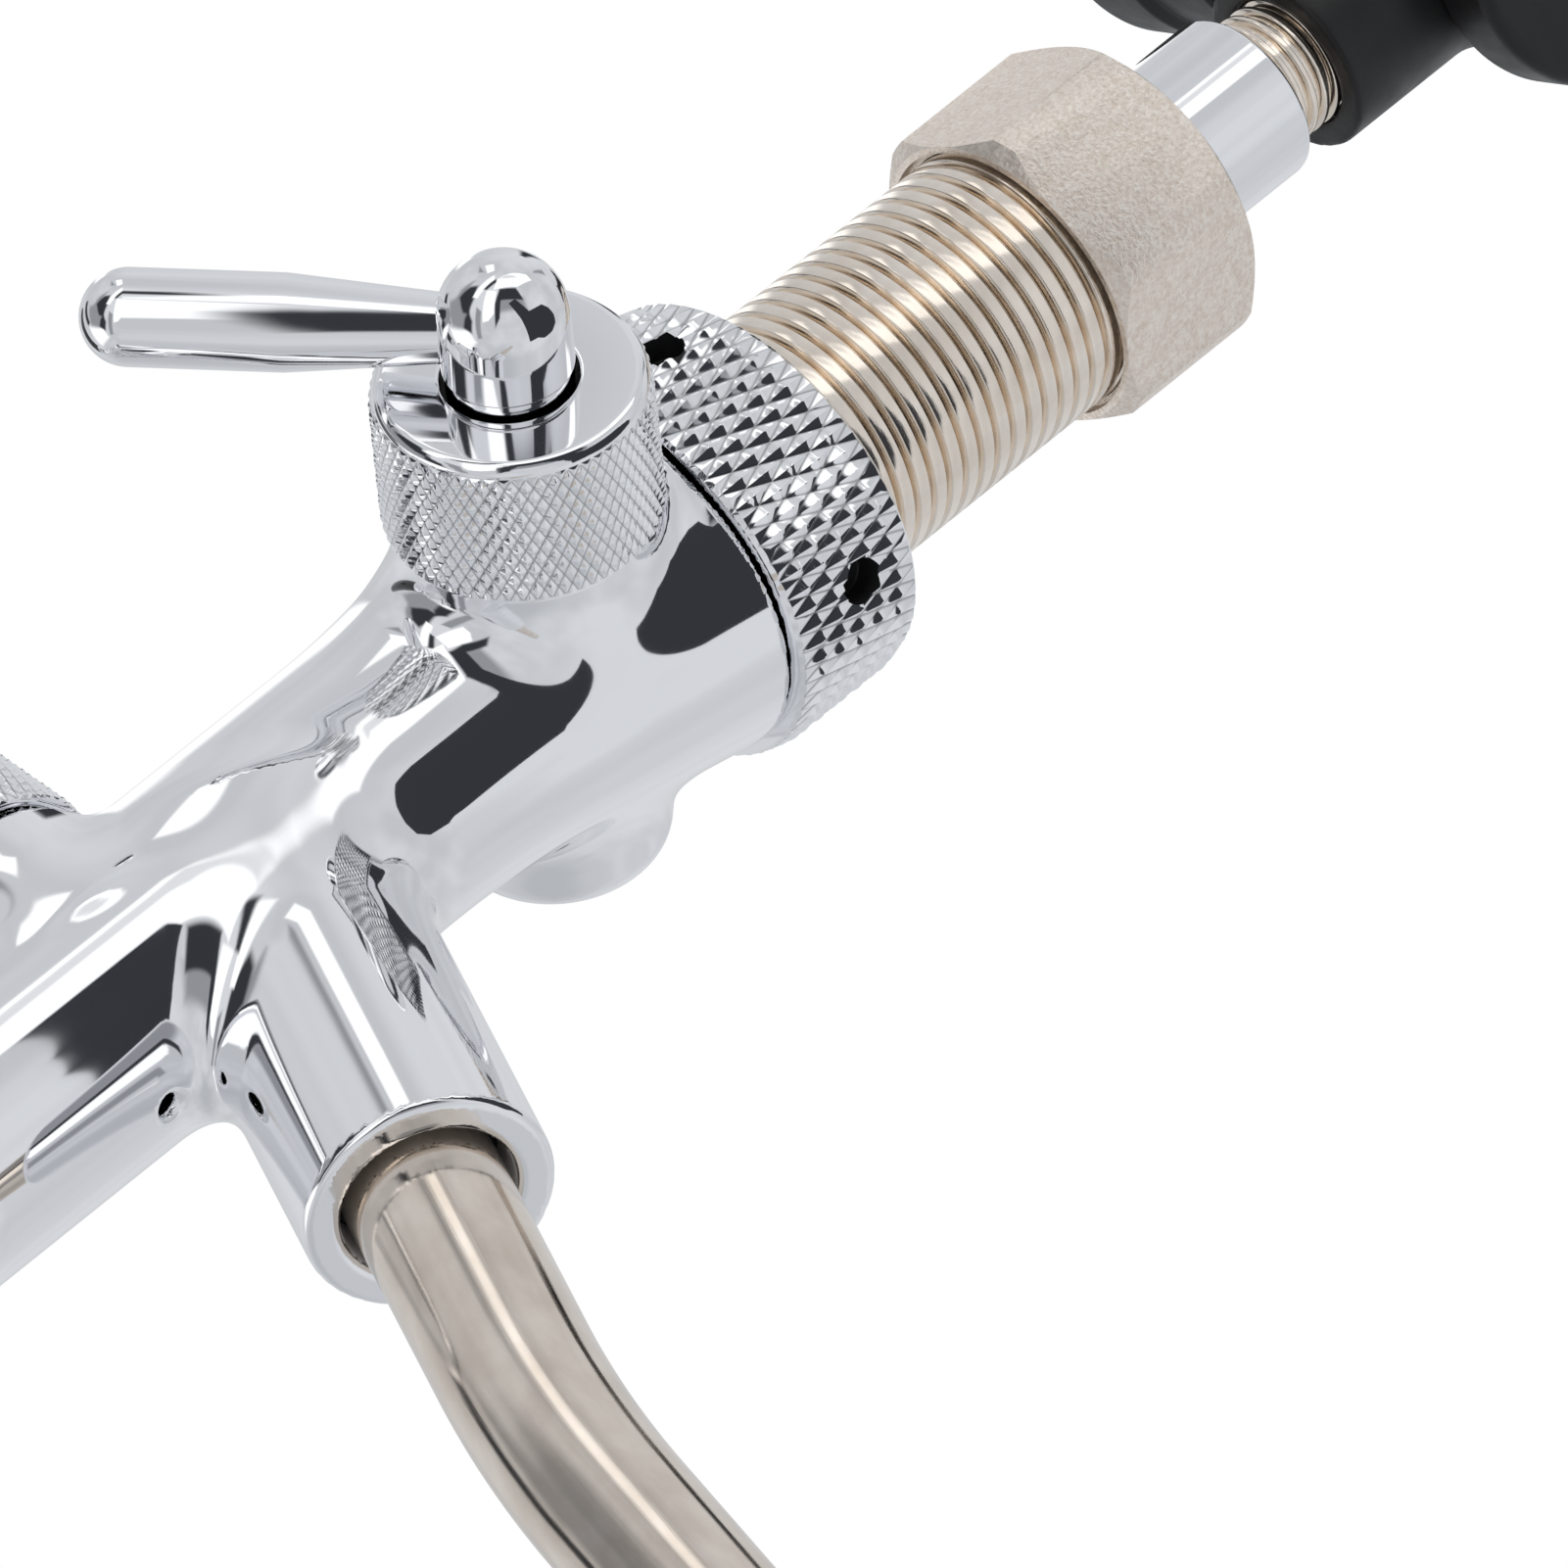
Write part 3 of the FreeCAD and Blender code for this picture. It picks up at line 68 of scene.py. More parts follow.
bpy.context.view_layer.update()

# %% [markdown]
# ## Where things are
# These sizes repeat the ones that the CAD source uses, in millimetres. The shank runs along Y with the wall at
# Y = 0, the handle is up along Z, and the flow-control lever is on the X side. Blender works in metres, so
# every mesh is worked out in millimetres and scaled once, when it becomes an object.

# %% Named places and directions
MM = 0.001
RIM_Y = -13.2
SPIGOT_END = -7.0
SEAT_Y = -47.2
X_AXIS = Vector((1, 0, 0))
Y_AXIS = Vector((0, 1, 0))
Z_AXIS = Vector((0, 0, 1))
ORIGIN = Vector((0, 0, 0))


def in_side_plane(forward_angle):
    """Direction in the plane X = 0, turned forward from straight up by an angle in degrees."""
    angle = math.radians(forward_angle)
    return Vector((0, -math.sin(angle), math.cos(angle)))


SPOUT_DIRECTION = in_side_plane(90 + 61.9)
BONNET_DIRECTION = in_side_plane(-4.9)
LEVER_DIRECTION = in_side_plane(-14.9)
FLOW_LEVER_DIRECTION = in_side_plane(34.8)
FLOW_CENTRE = Vector((0, -24.6, 0))
SPOUT_CENTRE = Vector((0, -56.1, 0))
HANDLE_CENTRE = Vector((0, -73.1, 18.0))
NECK_BASE = HANDLE_CENTRE - BONNET_DIRECTION * 18.066
DISCONNECT_CENTRE = Vector((0, 85.0, 0))
DISCONNECT_TILT = math.radians(23.6)
DISCONNECT_DIRECTION = Vector((-math.sin(DISCONNECT_TILT), 0, math.cos(DISCONNECT_TILT)))
print("spout points along", tuple(round(c, 3) for c in SPOUT_DIRECTION))

# %% [markdown]
# ## The camera
# The photograph was taken from in front, to the right and about 33 degrees below the tap, and it is turned so
# that the shank points to the upper right. Lines that are parallel on the tap stay parallel in it, so a long
# lens far away is the right choice. The camera is set from three directions: what is right, up and backwards
# in the picture.

# %% Camera
PHOTO_RIGHT = Vector((-0.0766, 0.6738, -0.7349)).normalized()
PHOTO_BACK = PHOTO_RIGHT.cross(Vector((0.7289, 0.5408, 0.4199))).normalized()
PHOTO_UP = PHOTO_BACK.cross(PHOTO_RIGHT)
VIEW_WIDTH = 120.65
CAMERA_DISTANCE = 5400.0
SENSOR_WIDTH = 36.0
target = Vector((0, -13.0, 0)) + 10.934 * PHOTO_RIGHT - 15.92 * PHOTO_UP
camera_data = bpy.data.cameras.new("photo_camera")
camera_data.sensor_width = SENSOR_WIDTH
camera_data.lens = SENSOR_WIDTH * CAMERA_DISTANCE / VIEW_WIDTH
camera_data.clip_start = 0.05
camera_data.clip_end = 20.0
camera = bpy.data.objects.new("photo_camera", camera_data)
camera.matrix_world = Matrix.Translation((target + PHOTO_BACK * CAMERA_DISTANCE) * MM) @ Matrix(
    (PHOTO_RIGHT, PHOTO_UP, PHOTO_BACK)).transposed().to_4x4()
bpy.context.scene.collection.objects.link(camera)
bpy.context.scene.camera = camera
bpy.context.scene.view_settings.view_transform = "Standard"
print("lens", round(camera_data.lens, 1), "mm")

# %% [markdown]
# ## The studio
# Polished chrome has hardly any colour of its own: what the eye sees is the room in it. So the room is built
# with care, as the sky of the scene. It is a light grey tent with white panels, which make the bright bands,
# and dark openings, which make the black ones. Each panel is a few straight-sided outline corners, given as
# angles to the right of the camera and above it.


# %% Node helpers
def add_node(tree, kind, inputs=None, **settings):
    """Node with its settings, and with its inputs linked or set to constants."""
    made = tree.nodes.new(kind)
    for key, value in settings.items():
        setattr(made, key, value)
    for key, value in (inputs or {}).items():
        if isinstance(value, bpy.types.NodeSocket):
            tree.links.new(value, made.inputs[key])
        else:
            made.inputs[key].default_value = value
    return made


def maths(tree, operation, *values):
    """Output of a Math node."""
    return add_node(tree, "ShaderNodeMath", dict(enumerate(values)), operation=operation).outputs[0]


# %% Panels of the studio
def studio_direction(right_angle, up_angle):
    """World direction seen at these angles from the camera's own axis, in degrees."""
    right, up = math.radians(right_angle), math.radians(up_angle)
    flat = PHOTO_RIGHT * math.sin(right) + PHOTO_BACK * math.cos(right)
    return flat * math.cos(up) + PHOTO_UP * math.sin(up)


def add_panel(tree, sight, colour, corners, brightness, softness):
    """Lay one straight-sided panel over the colour of the room."""
    spots = [studio_direction(*corner) for corner in corners]
    middle = sum(spots, Vector((0, 0, 0)))
    inside = None
    for spot, following in zip(spots, spots[1:] + spots[:1]):
        side = spot.cross(following).normalized()
        side = side if side.dot(middle) > 0 else -side
        reach = add_node(tree, "ShaderNodeVectorMath", {0: sight, 1: tuple(side)},
                         operation="DOT_PRODUCT").outputs[1]
        inside = reach if inside is None else maths(tree, "MINIMUM", inside, reach)
    mask = add_node(tree, "ShaderNodeMapRange", {"Value": inside, "From Min": -softness, "From Max": softness},
                    interpolation_type="SMOOTHSTEP").outputs[0]
    mix = add_node(tree, "ShaderNodeMix", {"Factor": mask, 6: colour, 7: (*brightness, 1)}, data_type="RGBA")
    return mix.outputs[2]


# %% Tones of the studio
ROOM = (0.68, 0.695, 0.72)
BRIGHT = (1.25, 1.25, 1.25)
PALE = (0.80, 0.81, 0.83)
SHADED = (0.50, 0.515, 0.54)
GREY = (0.30, 0.31, 0.33)
DARK = (0.035, 0.038, 0.045)

# %% Places of the panels
PANELS = [
    ("shaded ground", [(-180, -48), (-90, -58), (0, -58), (90, -66)], SHADED, 0.25),
    ("grey side left", [(-107, 14), (-88, 22), (-60, 2), (-64, -22), (-98, -12)], GREY, 0.08),
    ("grey band behind", [(-102, 2), (-99, 14), (-90, 32), (-84, 50), (-74, 50), (-78, 26), (-92, 0)],
     GREY, 0.06),
    ("white slot above", [(-118, 68), (-66, 68), (-56, 77), (-128, 77)], BRIGHT, 0.02),
    ("bright side low", [(-106, -14), (-66, -22), (-60, -42), (-106, -46)], BRIGHT, 0.08),
    ("dark corner left", [(-86, 22), (-74, 40), (-58, 45), (-54, 25), (-60, 0), (-72, 3)], DARK, 0.05),
    ("dark gap left", [(-74, -18), (-60, -28), (-54, -10), (-60, 5), (-68, -4)], DARK, 0.05),
    ("grey streak left", [(-52, -38), (-43, -38), (-37, 5), (-46, 12)], GREY, 0.03),
    ("white panel left", [(-33, 40), (-13, 40), (-15, 2), (-25, -10), (-35, -12)], BRIGHT, 0.03),
    ("white slant", [(-58, 26), (-48, 26), (-24, 60), (-34, 69), (-46, 58)], BRIGHT, 0.03),
    ("dark slant", [(-42, 41), (-34, 41), (-16, 57), (-22, 63)], DARK, 0.03),
    ("white ceiling", [(-20, 42), (-6, 46), (34, 47), (78, 50), (82, 60), (50, 72), (0, 70), (-16, 62)],
     BRIGHT, 0.02),
    ("grey ceiling gap", [(-12, 64), (14, 64), (50, 62), (40, 69), (8, 71)], PALE, 0.02),
    ("grey room", [(-6, 4), (-6, 28), (38, 28), (42, 10)], GREY, 0.10),
    ("dark room", [(-7, 24), (-7, 44), (29, 45), (38, 24)], DARK, 0.03),
    ("camera", [(-14, 18), (-7, 44), (-2, 44), (-5, -6), (-13, -22)], DARK, 0.03),
    ("dark streak far left", [(-128, 16), (-121, 19), (-102, -8), (-110, -12)], DARK, 0.03),
    ("grey strip up left", [(-130, 57), (-120, 61), (-92, 60), (-66, 70), (-64, 64), (-92, 53), (-118, 54)],
     GREY, 0.03),
    ("grey strip far right", [(106, 53), (114, 53), (134, 40), (126, 37)], GREY, 0.03),
    ("dark strip far right", [(157, 45), (163, 46), (174, 22), (166, 20)], DARK, 0.03),
    ("bright strip far left", [(-178, 4), (-150, 27), (-158, 32), (-174, 15)], BRIGHT, 0.04),
]
print("studio panels:", [panel[0] for panel in PANELS])

# %% The sky
world = bpy.data.worlds.new("studio")
bpy.context.scene.world = world
world.use_nodes = True
world.cycles.sampling_method = "MANUAL"
world.cycles.sample_map_resolution = 256
sky = world.node_tree
sky.nodes.clear()
sight = add_node(sky, "ShaderNodeTexCoord").outputs["Generated"]
cloud = add_node(sky, "ShaderNodeTexNoise", {"Vector": sight, "Scale": 1.6, "Detail": 2.0}).outputs["Fac"]
cloud = add_node(sky, "ShaderNodeMapRange", {"Value": cloud, "From Min": 0.35, "From Max": 0.65}).outputs[0]
colour = add_node(sky, "ShaderNodeMix", {"Factor": cloud, 6: (*[0.86 * c for c in ROOM], 1),
                                         7: (*[1.06 * c for c in ROOM], 1)}, data_type="RGBA").outputs[2]
for label, corners, brightness, softness in PANELS:
    colour = add_panel(sky, sight, colour, corners, brightness, softness)
seen = add_node(sky, "ShaderNodeLightPath").outputs["Is Camera Ray"]
shown = add_node(sky, "ShaderNodeMix", {"Factor": seen, 6: colour, 7: (1, 1, 1, 1)},
                 data_type="RGBA").outputs[2]
background = add_node(sky, "ShaderNodeBackground", {"Color": shown, "Strength": 1.0})
add_node(sky, "ShaderNodeOutputWorld", {"Surface": background.outputs[0]})
print("sky:", len(sky.nodes), "nodes")

# %% [markdown]
# ## The floor
# A pale disc well below the tap catches its soft shadow in every view from above. It is kept small and low, so
# that the photo's camera, which looks up from underneath, sees past it.

# %% Floor
FLOOR_HEIGHT = -0.36
FLOOR_RADIUS = 0.32
bpy.ops.mesh.primitive_circle_add(vertices=96, radius=FLOOR_RADIUS, fill_type="NGON")
floor = bpy.context.object
floor.name = "floor"
floor.data.transform(Matrix.Translation((0, 0, FLOOR_HEIGHT)))
floor_paint = bpy.data.materials.new("floor_paint")
floor_paint.use_nodes = True
floor_paint.node_tree.nodes["Principled BSDF"].inputs["Base Color"].default_value = (0.9, 0.9, 0.9, 1)
floor_paint.node_tree.nodes["Principled BSDF"].inputs["Roughness"].default_value = 0.9
floor.data.materials.append(floor_paint)
floor.visible_glossy = False

# %% [markdown]
# ## The black flag
# The black shapes in the barrel and in the bell are missing from the tail and the nut, which point the same
# way. So what they mirror is close by: a black flag that stands a hand's breadth away. It is a real plane here,
# hidden from the camera and from soft light, and only mirrors see it.

# %% Black flag
FLAG_VIEWPOINT = Vector((0, -40, 0))
FLAG_DISTANCE = 100
FLAG_CORNERS = [(13, 34), (22, 39), (31, 32), (40, 25), (48, 28), (60, 32), (73, 28), (84, 21), (90, 13),
                (88, 3), (77, -8), (64, -10), (53, -19), (38, 2), (30, 14)]
card_black = bpy.data.materials.new("card_black")
card_black.use_nodes = True
card_tree = card_black.node_tree
card_tree.nodes.clear()
glow = add_node(card_tree, "ShaderNodeEmission", {"Color": (*DARK, 1), "Strength": 1.0})
add_node(card_tree, "ShaderNodeOutputMaterial", {"Surface": glow.outputs[0]})
flag_spots = [FLAG_VIEWPOINT + studio_direction(*corner) * FLAG_DISTANCE for corner in FLAG_CORNERS]
flag_mesh = bpy.data.meshes.new("dark_flag")
flag_mesh.from_pydata([spot * MM for spot in flag_spots], [], [list(range(len(flag_spots)))])
flag = bpy.data.objects.new("dark_flag", flag_mesh)
bpy.context.scene.collection.objects.link(flag)
flag.data.materials.append(card_black)
flag.visible_camera = False
flag.visible_diffuse = False
flag.visible_shadow = False
print("flag with", len(flag_spots), "corners,", FLAG_DISTANCE, "mm from the barrel")

# %% [markdown]
# ## Finishes
# Every finish is made from noise in the piece's own space, so it needs no pictures. Chrome plate is an almost
# perfect mirror over a slightly wavy casting. Nickel is warmer and softer: the nut is blasted, so it is grainy,
# and the threads are only drawn through a die. The spout is drawn stainless tube with lines along its length.
# Plating does not reach into deep bores, so the spout's mouth is a plain grey. The spanner holes are painted
# near black, as painted shade.
# The knurls carry painted shade: each has an attribute named groove, 0 on its points and 1 at the bottom of
# its grooves, and the colour is painted darker towards the groove bottoms as shade, while the gloss grows
# rougher.


# %% Material helpers
def new_material(name, colour, metallic, roughness, **constants):
    """Principled material and its shader."""
    material = bpy.data.materials.new(name)
    material.use_nodes = True
    shader = material.node_tree.nodes["Principled BSDF"]
    shader.inputs["Base Color"].default_value = (*colour, 1)
    shader.inputs["Metallic"].default_value = metallic
    shader.inputs["Roughness"].default_value = roughness
    for key, value in constants.items():
        shader.inputs[key.replace("_", " ")].default_value = value
    return material, material.node_tree, shader


def noise(tree, scale, stretch=(1, 1, 1), detail=3.0, roughness=0.5, coordinates="Object"):
    """Noise in the piece's own space, stretched along its axes."""
    place = add_node(tree, "ShaderNodeTexCoord").outputs[coordinates]
    mapped = add_node(tree, "ShaderNodeMapping", {"Vector": place, "Scale": stretch})
    return add_node(tree, "ShaderNodeTexNoise", {"Vector": mapped.outputs[0], "Scale": scale, "Detail": detail,
                                                 "Roughness": roughness}).outputs["Fac"]


def spread(tree, value, low, high, start=0.3, end=0.7):
    """Stretch the middle of a noise over a range."""
    return add_node(tree, "ShaderNodeMapRange", {"Value": value, "From Min": start, "From Max": end,
                                                 "To Min": low, "To Max": high}).outputs[0]


def tinted(tree, share, first, second):
    """Mix of two colours."""
    return add_node(tree, "ShaderNodeMix", {"Factor": share, 6: (*first, 1), 7: (*second, 1)},
                    data_type="RGBA").outputs[2]


def bumped(tree, shader, height, strength, distance):
    """Relief from a height, in metres."""
    relief = add_node(tree, "ShaderNodeBump", {"Height": height, "Strength": strength, "Distance": distance})
    tree.links.new(relief.outputs[0], shader.inputs["Normal"])


# %% Chrome plate
CHROME, tree, shader = new_material("mirror_chrome", (0.90, 0.905, 0.92), 1.0, 0.04)
tree.links.new(spread(tree, noise(tree, 90), 0.03, 0.065), shader.inputs["Roughness"])
bumped(tree, shader, noise(tree, 160, detail=1.0), 0.05, 0.0002)

# %% Nickel of the nut and of the threads
NICKEL_BLASTED, tree, shader = new_material("blasted_nickel", (0.95, 0.88, 0.80), 1.0, 0.5)
grain = noise(tree, 2600, detail=3.0, roughness=0.65)
blotch = noise(tree, 700, detail=6.0, roughness=0.75)
speckle = maths(tree, "ADD", maths(tree, "MULTIPLY", grain, 0.65), maths(tree, "MULTIPLY", blotch, 0.35))
tree.links.new(tinted(tree, spread(tree, speckle, 0, 1, 0.38, 0.60), (0.80, 0.69, 0.59), (1.0, 0.93, 0.85)),
               shader.inputs["Base Color"])
tree.links.new(spread(tree, blotch, 0.30, 0.50), shader.inputs["Roughness"])
bumped(tree, shader, speckle, 0.9, 0.0002)

NICKEL_THREAD, tree, shader = new_material("cut_nickel", (0.84, 0.745, 0.63), 1.0, 0.3)
patina = noise(tree, 350, (1, 0.3, 1))
tree.links.new(tinted(tree, spread(tree, patina, 0, 1), (0.82, 0.735, 0.64), (0.93, 0.855, 0.77)),
               shader.inputs["Base Color"])
tree.links.new(spread(tree, noise(tree, 900, (1, 6, 1)), 0.09, 0.18), shader.inputs["Roughness"])
bumped(tree, shader, noise(tree, 1200, (1, 5, 1), detail=2.0), 0.12, 0.00005)

# %% Drawn steel of the spout
DRAWN_STEEL, tree, shader = new_material("drawn_steel", (0.74, 0.67, 0.59), 1.0, 0.18)
lines = noise(tree, 1.0, (150, 3.0, 1), detail=5.0, roughness=0.6, coordinates="UV")
patches = noise(tree, 1.0, (9, 5.0, 1), detail=4.0, coordinates="UV")
tree.links.new(tinted(tree, spread(tree, patches, 0, 1, 0.3, 0.7), (0.66, 0.58, 0.50), (0.84, 0.76, 0.68)),
               shader.inputs["Base Color"])
tree.links.new(spread(tree, lines, 0.07, 0.15), shader.inputs["Roughness"])
bumped(tree, shader, lines, 0.10, 0.00005)

# %% Painted shade of the spanner holes, and the unplated mouth
# Painted shade: near black for the shade inside the spanner holes.
HOLE_SHADE, tree, shader = new_material("painted_hole_shade", (0.03, 0.03, 0.032), 0.6, 0.55)
tree.links.new(spread(tree, noise(tree, 600), 0.45, 0.65), shader.inputs["Roughness"])

MOUTH_GREY, tree, shader = new_material("unplated_mouth", (0.72, 0.73, 0.75), 0.0, 0.5)
tree.links.new(tinted(tree, spread(tree, noise(tree, 500), 0, 1), (0.66, 0.67, 0.69), (0.78, 0.79, 0.81)),
               shader.inputs["Base Color"])

# %% Chrome on a knurl, with painted shade in its grooves
KNURLED_CHROME, tree, shader = new_material("knurled_chrome", (0.90, 0.905, 0.92), 1.0, 0.05)
groove = add_node(tree, "ShaderNodeAttribute", attribute_name="groove").outputs["Fac"]
# Painted shade: the colour darkens from chrome to a dark grey towards the bottom of each groove, where shade
# falls; the same share makes the grooves rougher.
groove_shade_and_haze = add_node(tree, "ShaderNodeMapRange", {"Value": groove, "From Min": 0.70, "From Max": 1.0},
                       interpolation_type="SMOOTHSTEP").outputs[0]
tree.links.new(tinted(tree, groove_shade_and_haze, (0.90, 0.905, 0.92), (0.30, 0.305, 0.315)),
               shader.inputs["Base Color"])
groove_haze = maths(tree, "MULTIPLY", groove_shade_and_haze, 0.22)
tree.links.new(maths(tree, "ADD", groove_haze, spread(tree, noise(tree, 90), 0.04, 0.08)),
               shader.inputs["Roughness"])

# %% Plastics and rubber
BLACK_PLASTIC, tree, shader = new_material("black_plastic", (0.010, 0.010, 0.011), 0.0, 0.42,
                                           Specular_IOR_Level=0.36)
tree.links.new(spread(tree, noise(tree, 300), 0.34, 0.5), shader.inputs["Roughness"])
bumped(tree, shader, noise(tree, 2200, detail=2.0), 0.12, 0.00005)

GRIP_BLACK, tree, shader = new_material("grip_black", (0.01, 0.01, 0.011), 0.0, 0.16, Coat_Weight=0.5)
tree.links.new(spread(tree, noise(tree, 120), 0.12, 0.22), shader.inputs["Roughness"])
bumped(tree, shader, noise(tree, 260, detail=1.0), 0.06, 0.0002)

WHITE_PLASTIC, tree, shader = new_material("white_plastic", (0.78, 0.78, 0.75), 0.0, 0.45)
tree.links.new(tinted(tree, spread(tree, noise(tree, 400), 0, 1), (0.74, 0.73, 0.69), (0.82, 0.82, 0.80)),
               shader.inputs["Base Color"])

RUBBER, tree, shader = new_material("rubber", (0.018, 0.018, 0.018), 0.0, 0.7)
tree.links.new(spread(tree, noise(tree, 700), 0.55, 0.8), shader.inputs["Roughness"])
bumped(tree, shader, noise(tree, 1800, detail=3.0), 0.2, 0.00008)

# %% Which finish each piece has
FINISHES = {"chrome_plate": CHROME, "satin_nickel": NICKEL_BLASTED, "stainless": DRAWN_STEEL,
            "black_plastic": BLACK_PLASTIC, "grip_plastic": GRIP_BLACK, "white_plastic": WHITE_PLASTIC,
            "black_rubber": RUBBER}
slot_of = {part["node"]: part["material_slot"] for part in frame["record"]["subparts"]}
for name, node in frame["nodes"].items():
    node.data.materials.clear()
    node.data.materials.append(FINISHES[slot_of[name]])
print("finishes:", sorted(FINISHES))

# %% [markdown]
# ## Turned pieces
# Turned metal parts are made as on a lathe: an outline of radius and station goes round an axis. Real edges are
# never razor sharp, so each corner of the outline gets a small arc, which also catches the light. On a mirror
# the shading normals matter more than the number of faces, so they are worked out from the outline itself and
# stored on the mesh.


# %% Outlines with rounded corners
def arc(start, middle, end, count=14):
    """Points of the arc through three points, without its start."""
    (ax, ay), (bx, by), (cx, cy) = start, middle, end
    double = 2 * (ax * (by - cy) + bx * (cy - ay) + cx * (ay - by))
    first, second, third = ax * ax + ay * ay, bx * bx + by * by, cx * cx + cy * cy
    x = (first * (by - cy) + second * (cy - ay) + third * (ay - by)) / double
    y = (first * (cx - bx) + second * (ax - cx) + third * (bx - ax)) / double
    begin = math.atan2(ay - y, ax - x)
    turn = (math.atan2(cy - y, cx - x) - begin + math.pi) % (2 * math.pi) - math.pi
    radius = math.hypot(ax - x, ay - y)
    angles = [begin + turn * step / count for step in range(1, count + 1)]
    return [(x + radius * math.cos(angle), y + radius * math.sin(angle)) for angle in angles]


FILLET_STEPS = 3
SOFTEST_CORNER = math.radians(16)


def rounded(outline, fillet, closed=True, support=0.0):
    """Outline and its normals, with an arc at each corner. A corner's own fillet is its third number."""
    corners = [Vector(corner[:2]) for corner in outline]
    points, normals = [], []
    for index, corner in enumerate(outline):
        here = corners[index]
        to_last = corners[index - 1] - here
        to_next = corners[(index + 1) % len(corners)] - here
        if not closed and index == 0:
            to_last = -to_next
        if not closed and index == len(outline) - 1:
            to_next = -to_last
        flat = [Vector((side.y, -side.x)).normalized() for side in (-to_last, to_next)]
        turn = (-to_last).angle_signed(to_next) * -1
        if here.x < 1e-6:
            points.append(here)
            normals.append(flat[0] if abs(flat[0].y) > abs(flat[1].y) else flat[1])
            continue
        if abs(turn) < SOFTEST_CORNER:
            points.append(here)
            normals.append((flat[0] * to_last.length + flat[1] * to_next.length).normalized())
            continue
        radius = corner[2] if len(corner) > 2 else fillet
        reach = min(radius * math.tan(abs(turn) / 2), 0.45 * to_last.length, 0.45 * to_next.length)
        radius = reach / math.tan(abs(turn) / 2)
        centre = here + to_last.normalized() * reach - flat[0] * math.copysign(radius, turn)
        if support and to_last.length > 4 * support + 2 * reach:
            points.append(here + to_last.normalized() * (reach + support))
            normals.append(flat[0])
        for step in range(FILLET_STEPS + 1):
            angle = turn * step / FILLET_STEPS
            normal = Vector((flat[0].x * math.cos(angle) - flat[0].y * math.sin(angle),
                             flat[0].x * math.sin(angle) + flat[0].y * math.cos(angle)))
            points.append(centre + normal * math.copysign(radius, turn))
            normals.append(normal)
        if support and to_next.length > 4 * support + 2 * reach:
            points.append(here + to_next.normalized() * (reach + support))
            normals.append(flat[1])
    return points, normals


# %% Turning an outline round an axis
def turned_mesh(profile, profile_normals, angles, closed=True):
    """Points, normals and faces of an outline turned round Z, with one point where it meets the axis."""
    points, normals, faces, rows = [], [], [], []
    poles = {}
    for angle in angles:
        across = Vector((math.cos(angle), math.sin(angle), 0))
        row = []
        for index, (point, normal) in enumerate(zip(profile, profile_normals)):
            on_axis = point.x < 1e-6
            if on_axis and index in poles:
                row.append(poles[index])
                continue
            if on_axis:
                poles[index] = len(points)
            row.append(len(points))
            points.append(across * point.x + Z_AXIS * point.y)
            slanted = across * normal.x + Z_AXIS * normal.y
            normals.append(Z_AXIS * math.copysign(1, normal.y) if on_axis else slanted)
        rows.append(row)
    spans = len(profile) if closed else len(profile) - 1
    for here, there in zip(rows, rows[1:] + rows[:1]):
        for index in range(spans):
            following = (index + 1) % len(profile)
            ring = [here[index], there[index], there[following], here[following]]
            ring = [spot for place, spot in enumerate(ring) if spot != ring[place - 1]]
            if len(ring) > 2:
                faces.append(ring)
    return points, normals, faces


def even_angles(count):
    """Angles of a full turn."""
    return [2 * math.pi * step / count for step in range(count)]


def placement(centre, direction):
    """Matrix that takes the Z axis to a direction from a centre."""
    return Matrix.Translation(centre) @ Z_AXIS.rotation_difference(direction).to_matrix().to_4x4()


def new_piece(name, points, faces, normals=None, matrix=None):
    """Mesh object at the origin, from points in millimetres."""
    mesh = bpy.data.meshes.new(name)
    place = np.array(matrix if matrix is not None else Matrix.Identity(4))
    spots = (np.asarray([tuple(p) for p in points]) @ place[:3, :3].T + place[:3, 3]) * MM
    mesh.from_pydata(spots.tolist(), [], [tuple(map(int, face)) for face in faces])
    mesh.polygons.foreach_set("use_smooth", [True] * len(mesh.polygons))
    if normals is not None:
        ways = np.asarray([tuple(n) for n in normals]) @ place[:3, :3].T
        mesh.normals_split_custom_set_from_vertices(ways.tolist())
    piece = bpy.data.objects.new(name, mesh)
    bpy.context.scene.collection.objects.link(piece)
    return piece


def dress(piece, material, node_name):
    """Give a piece its finish and let it stand in for a CAD piece."""
    piece.data.materials.clear()
    piece.data.materials.append(material)
    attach(piece, frame["nodes"][node_name]["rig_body"])
    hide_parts(node_name)
    return piece


def turned(node_name, outline, centre, direction, material, fillet=0.25, segments=128):
    """Turned piece that stands in for a CAD piece."""
    profile, profile_normals = rounded(outline, fillet)
    segments = segments
    points, normals, faces = turned_mesh(profile, profile_normals, even_angles(segments))
    piece = new_piece("turned_" + node_name, points, faces, normals, placement(centre, direction))
    return dress(piece, material, node_name)


# %% [markdown]
# ## The cast body
# The body of the tap is one casting: a bell, a straight barrel with a round nose, and bosses for the flow
# control, the spout and the handle, with soft fillets where they meet. It could be modelled with booleans and
# bevels, but bevels between slanted cylinders seldom come out smooth. A distance field is simpler: each form
# is a formula for how far a point is from it, and a smooth minimum of two formulas is a fillet. The surface is
# then where the distance is zero.


# %% Distance formulas
def smooth_union(a, b, blend):
    """Union of two distance fields with a soft fillet between them."""
    overlap = np.maximum(blend - np.abs(a - b), 0)
    return np.minimum(a, b) - overlap * overlap / (4 * blend)


def smooth_cut(a, b, blend):
    """What is left of the first field when the second is taken out, with an eased edge."""
    return -smooth_union(-a, b, blend)


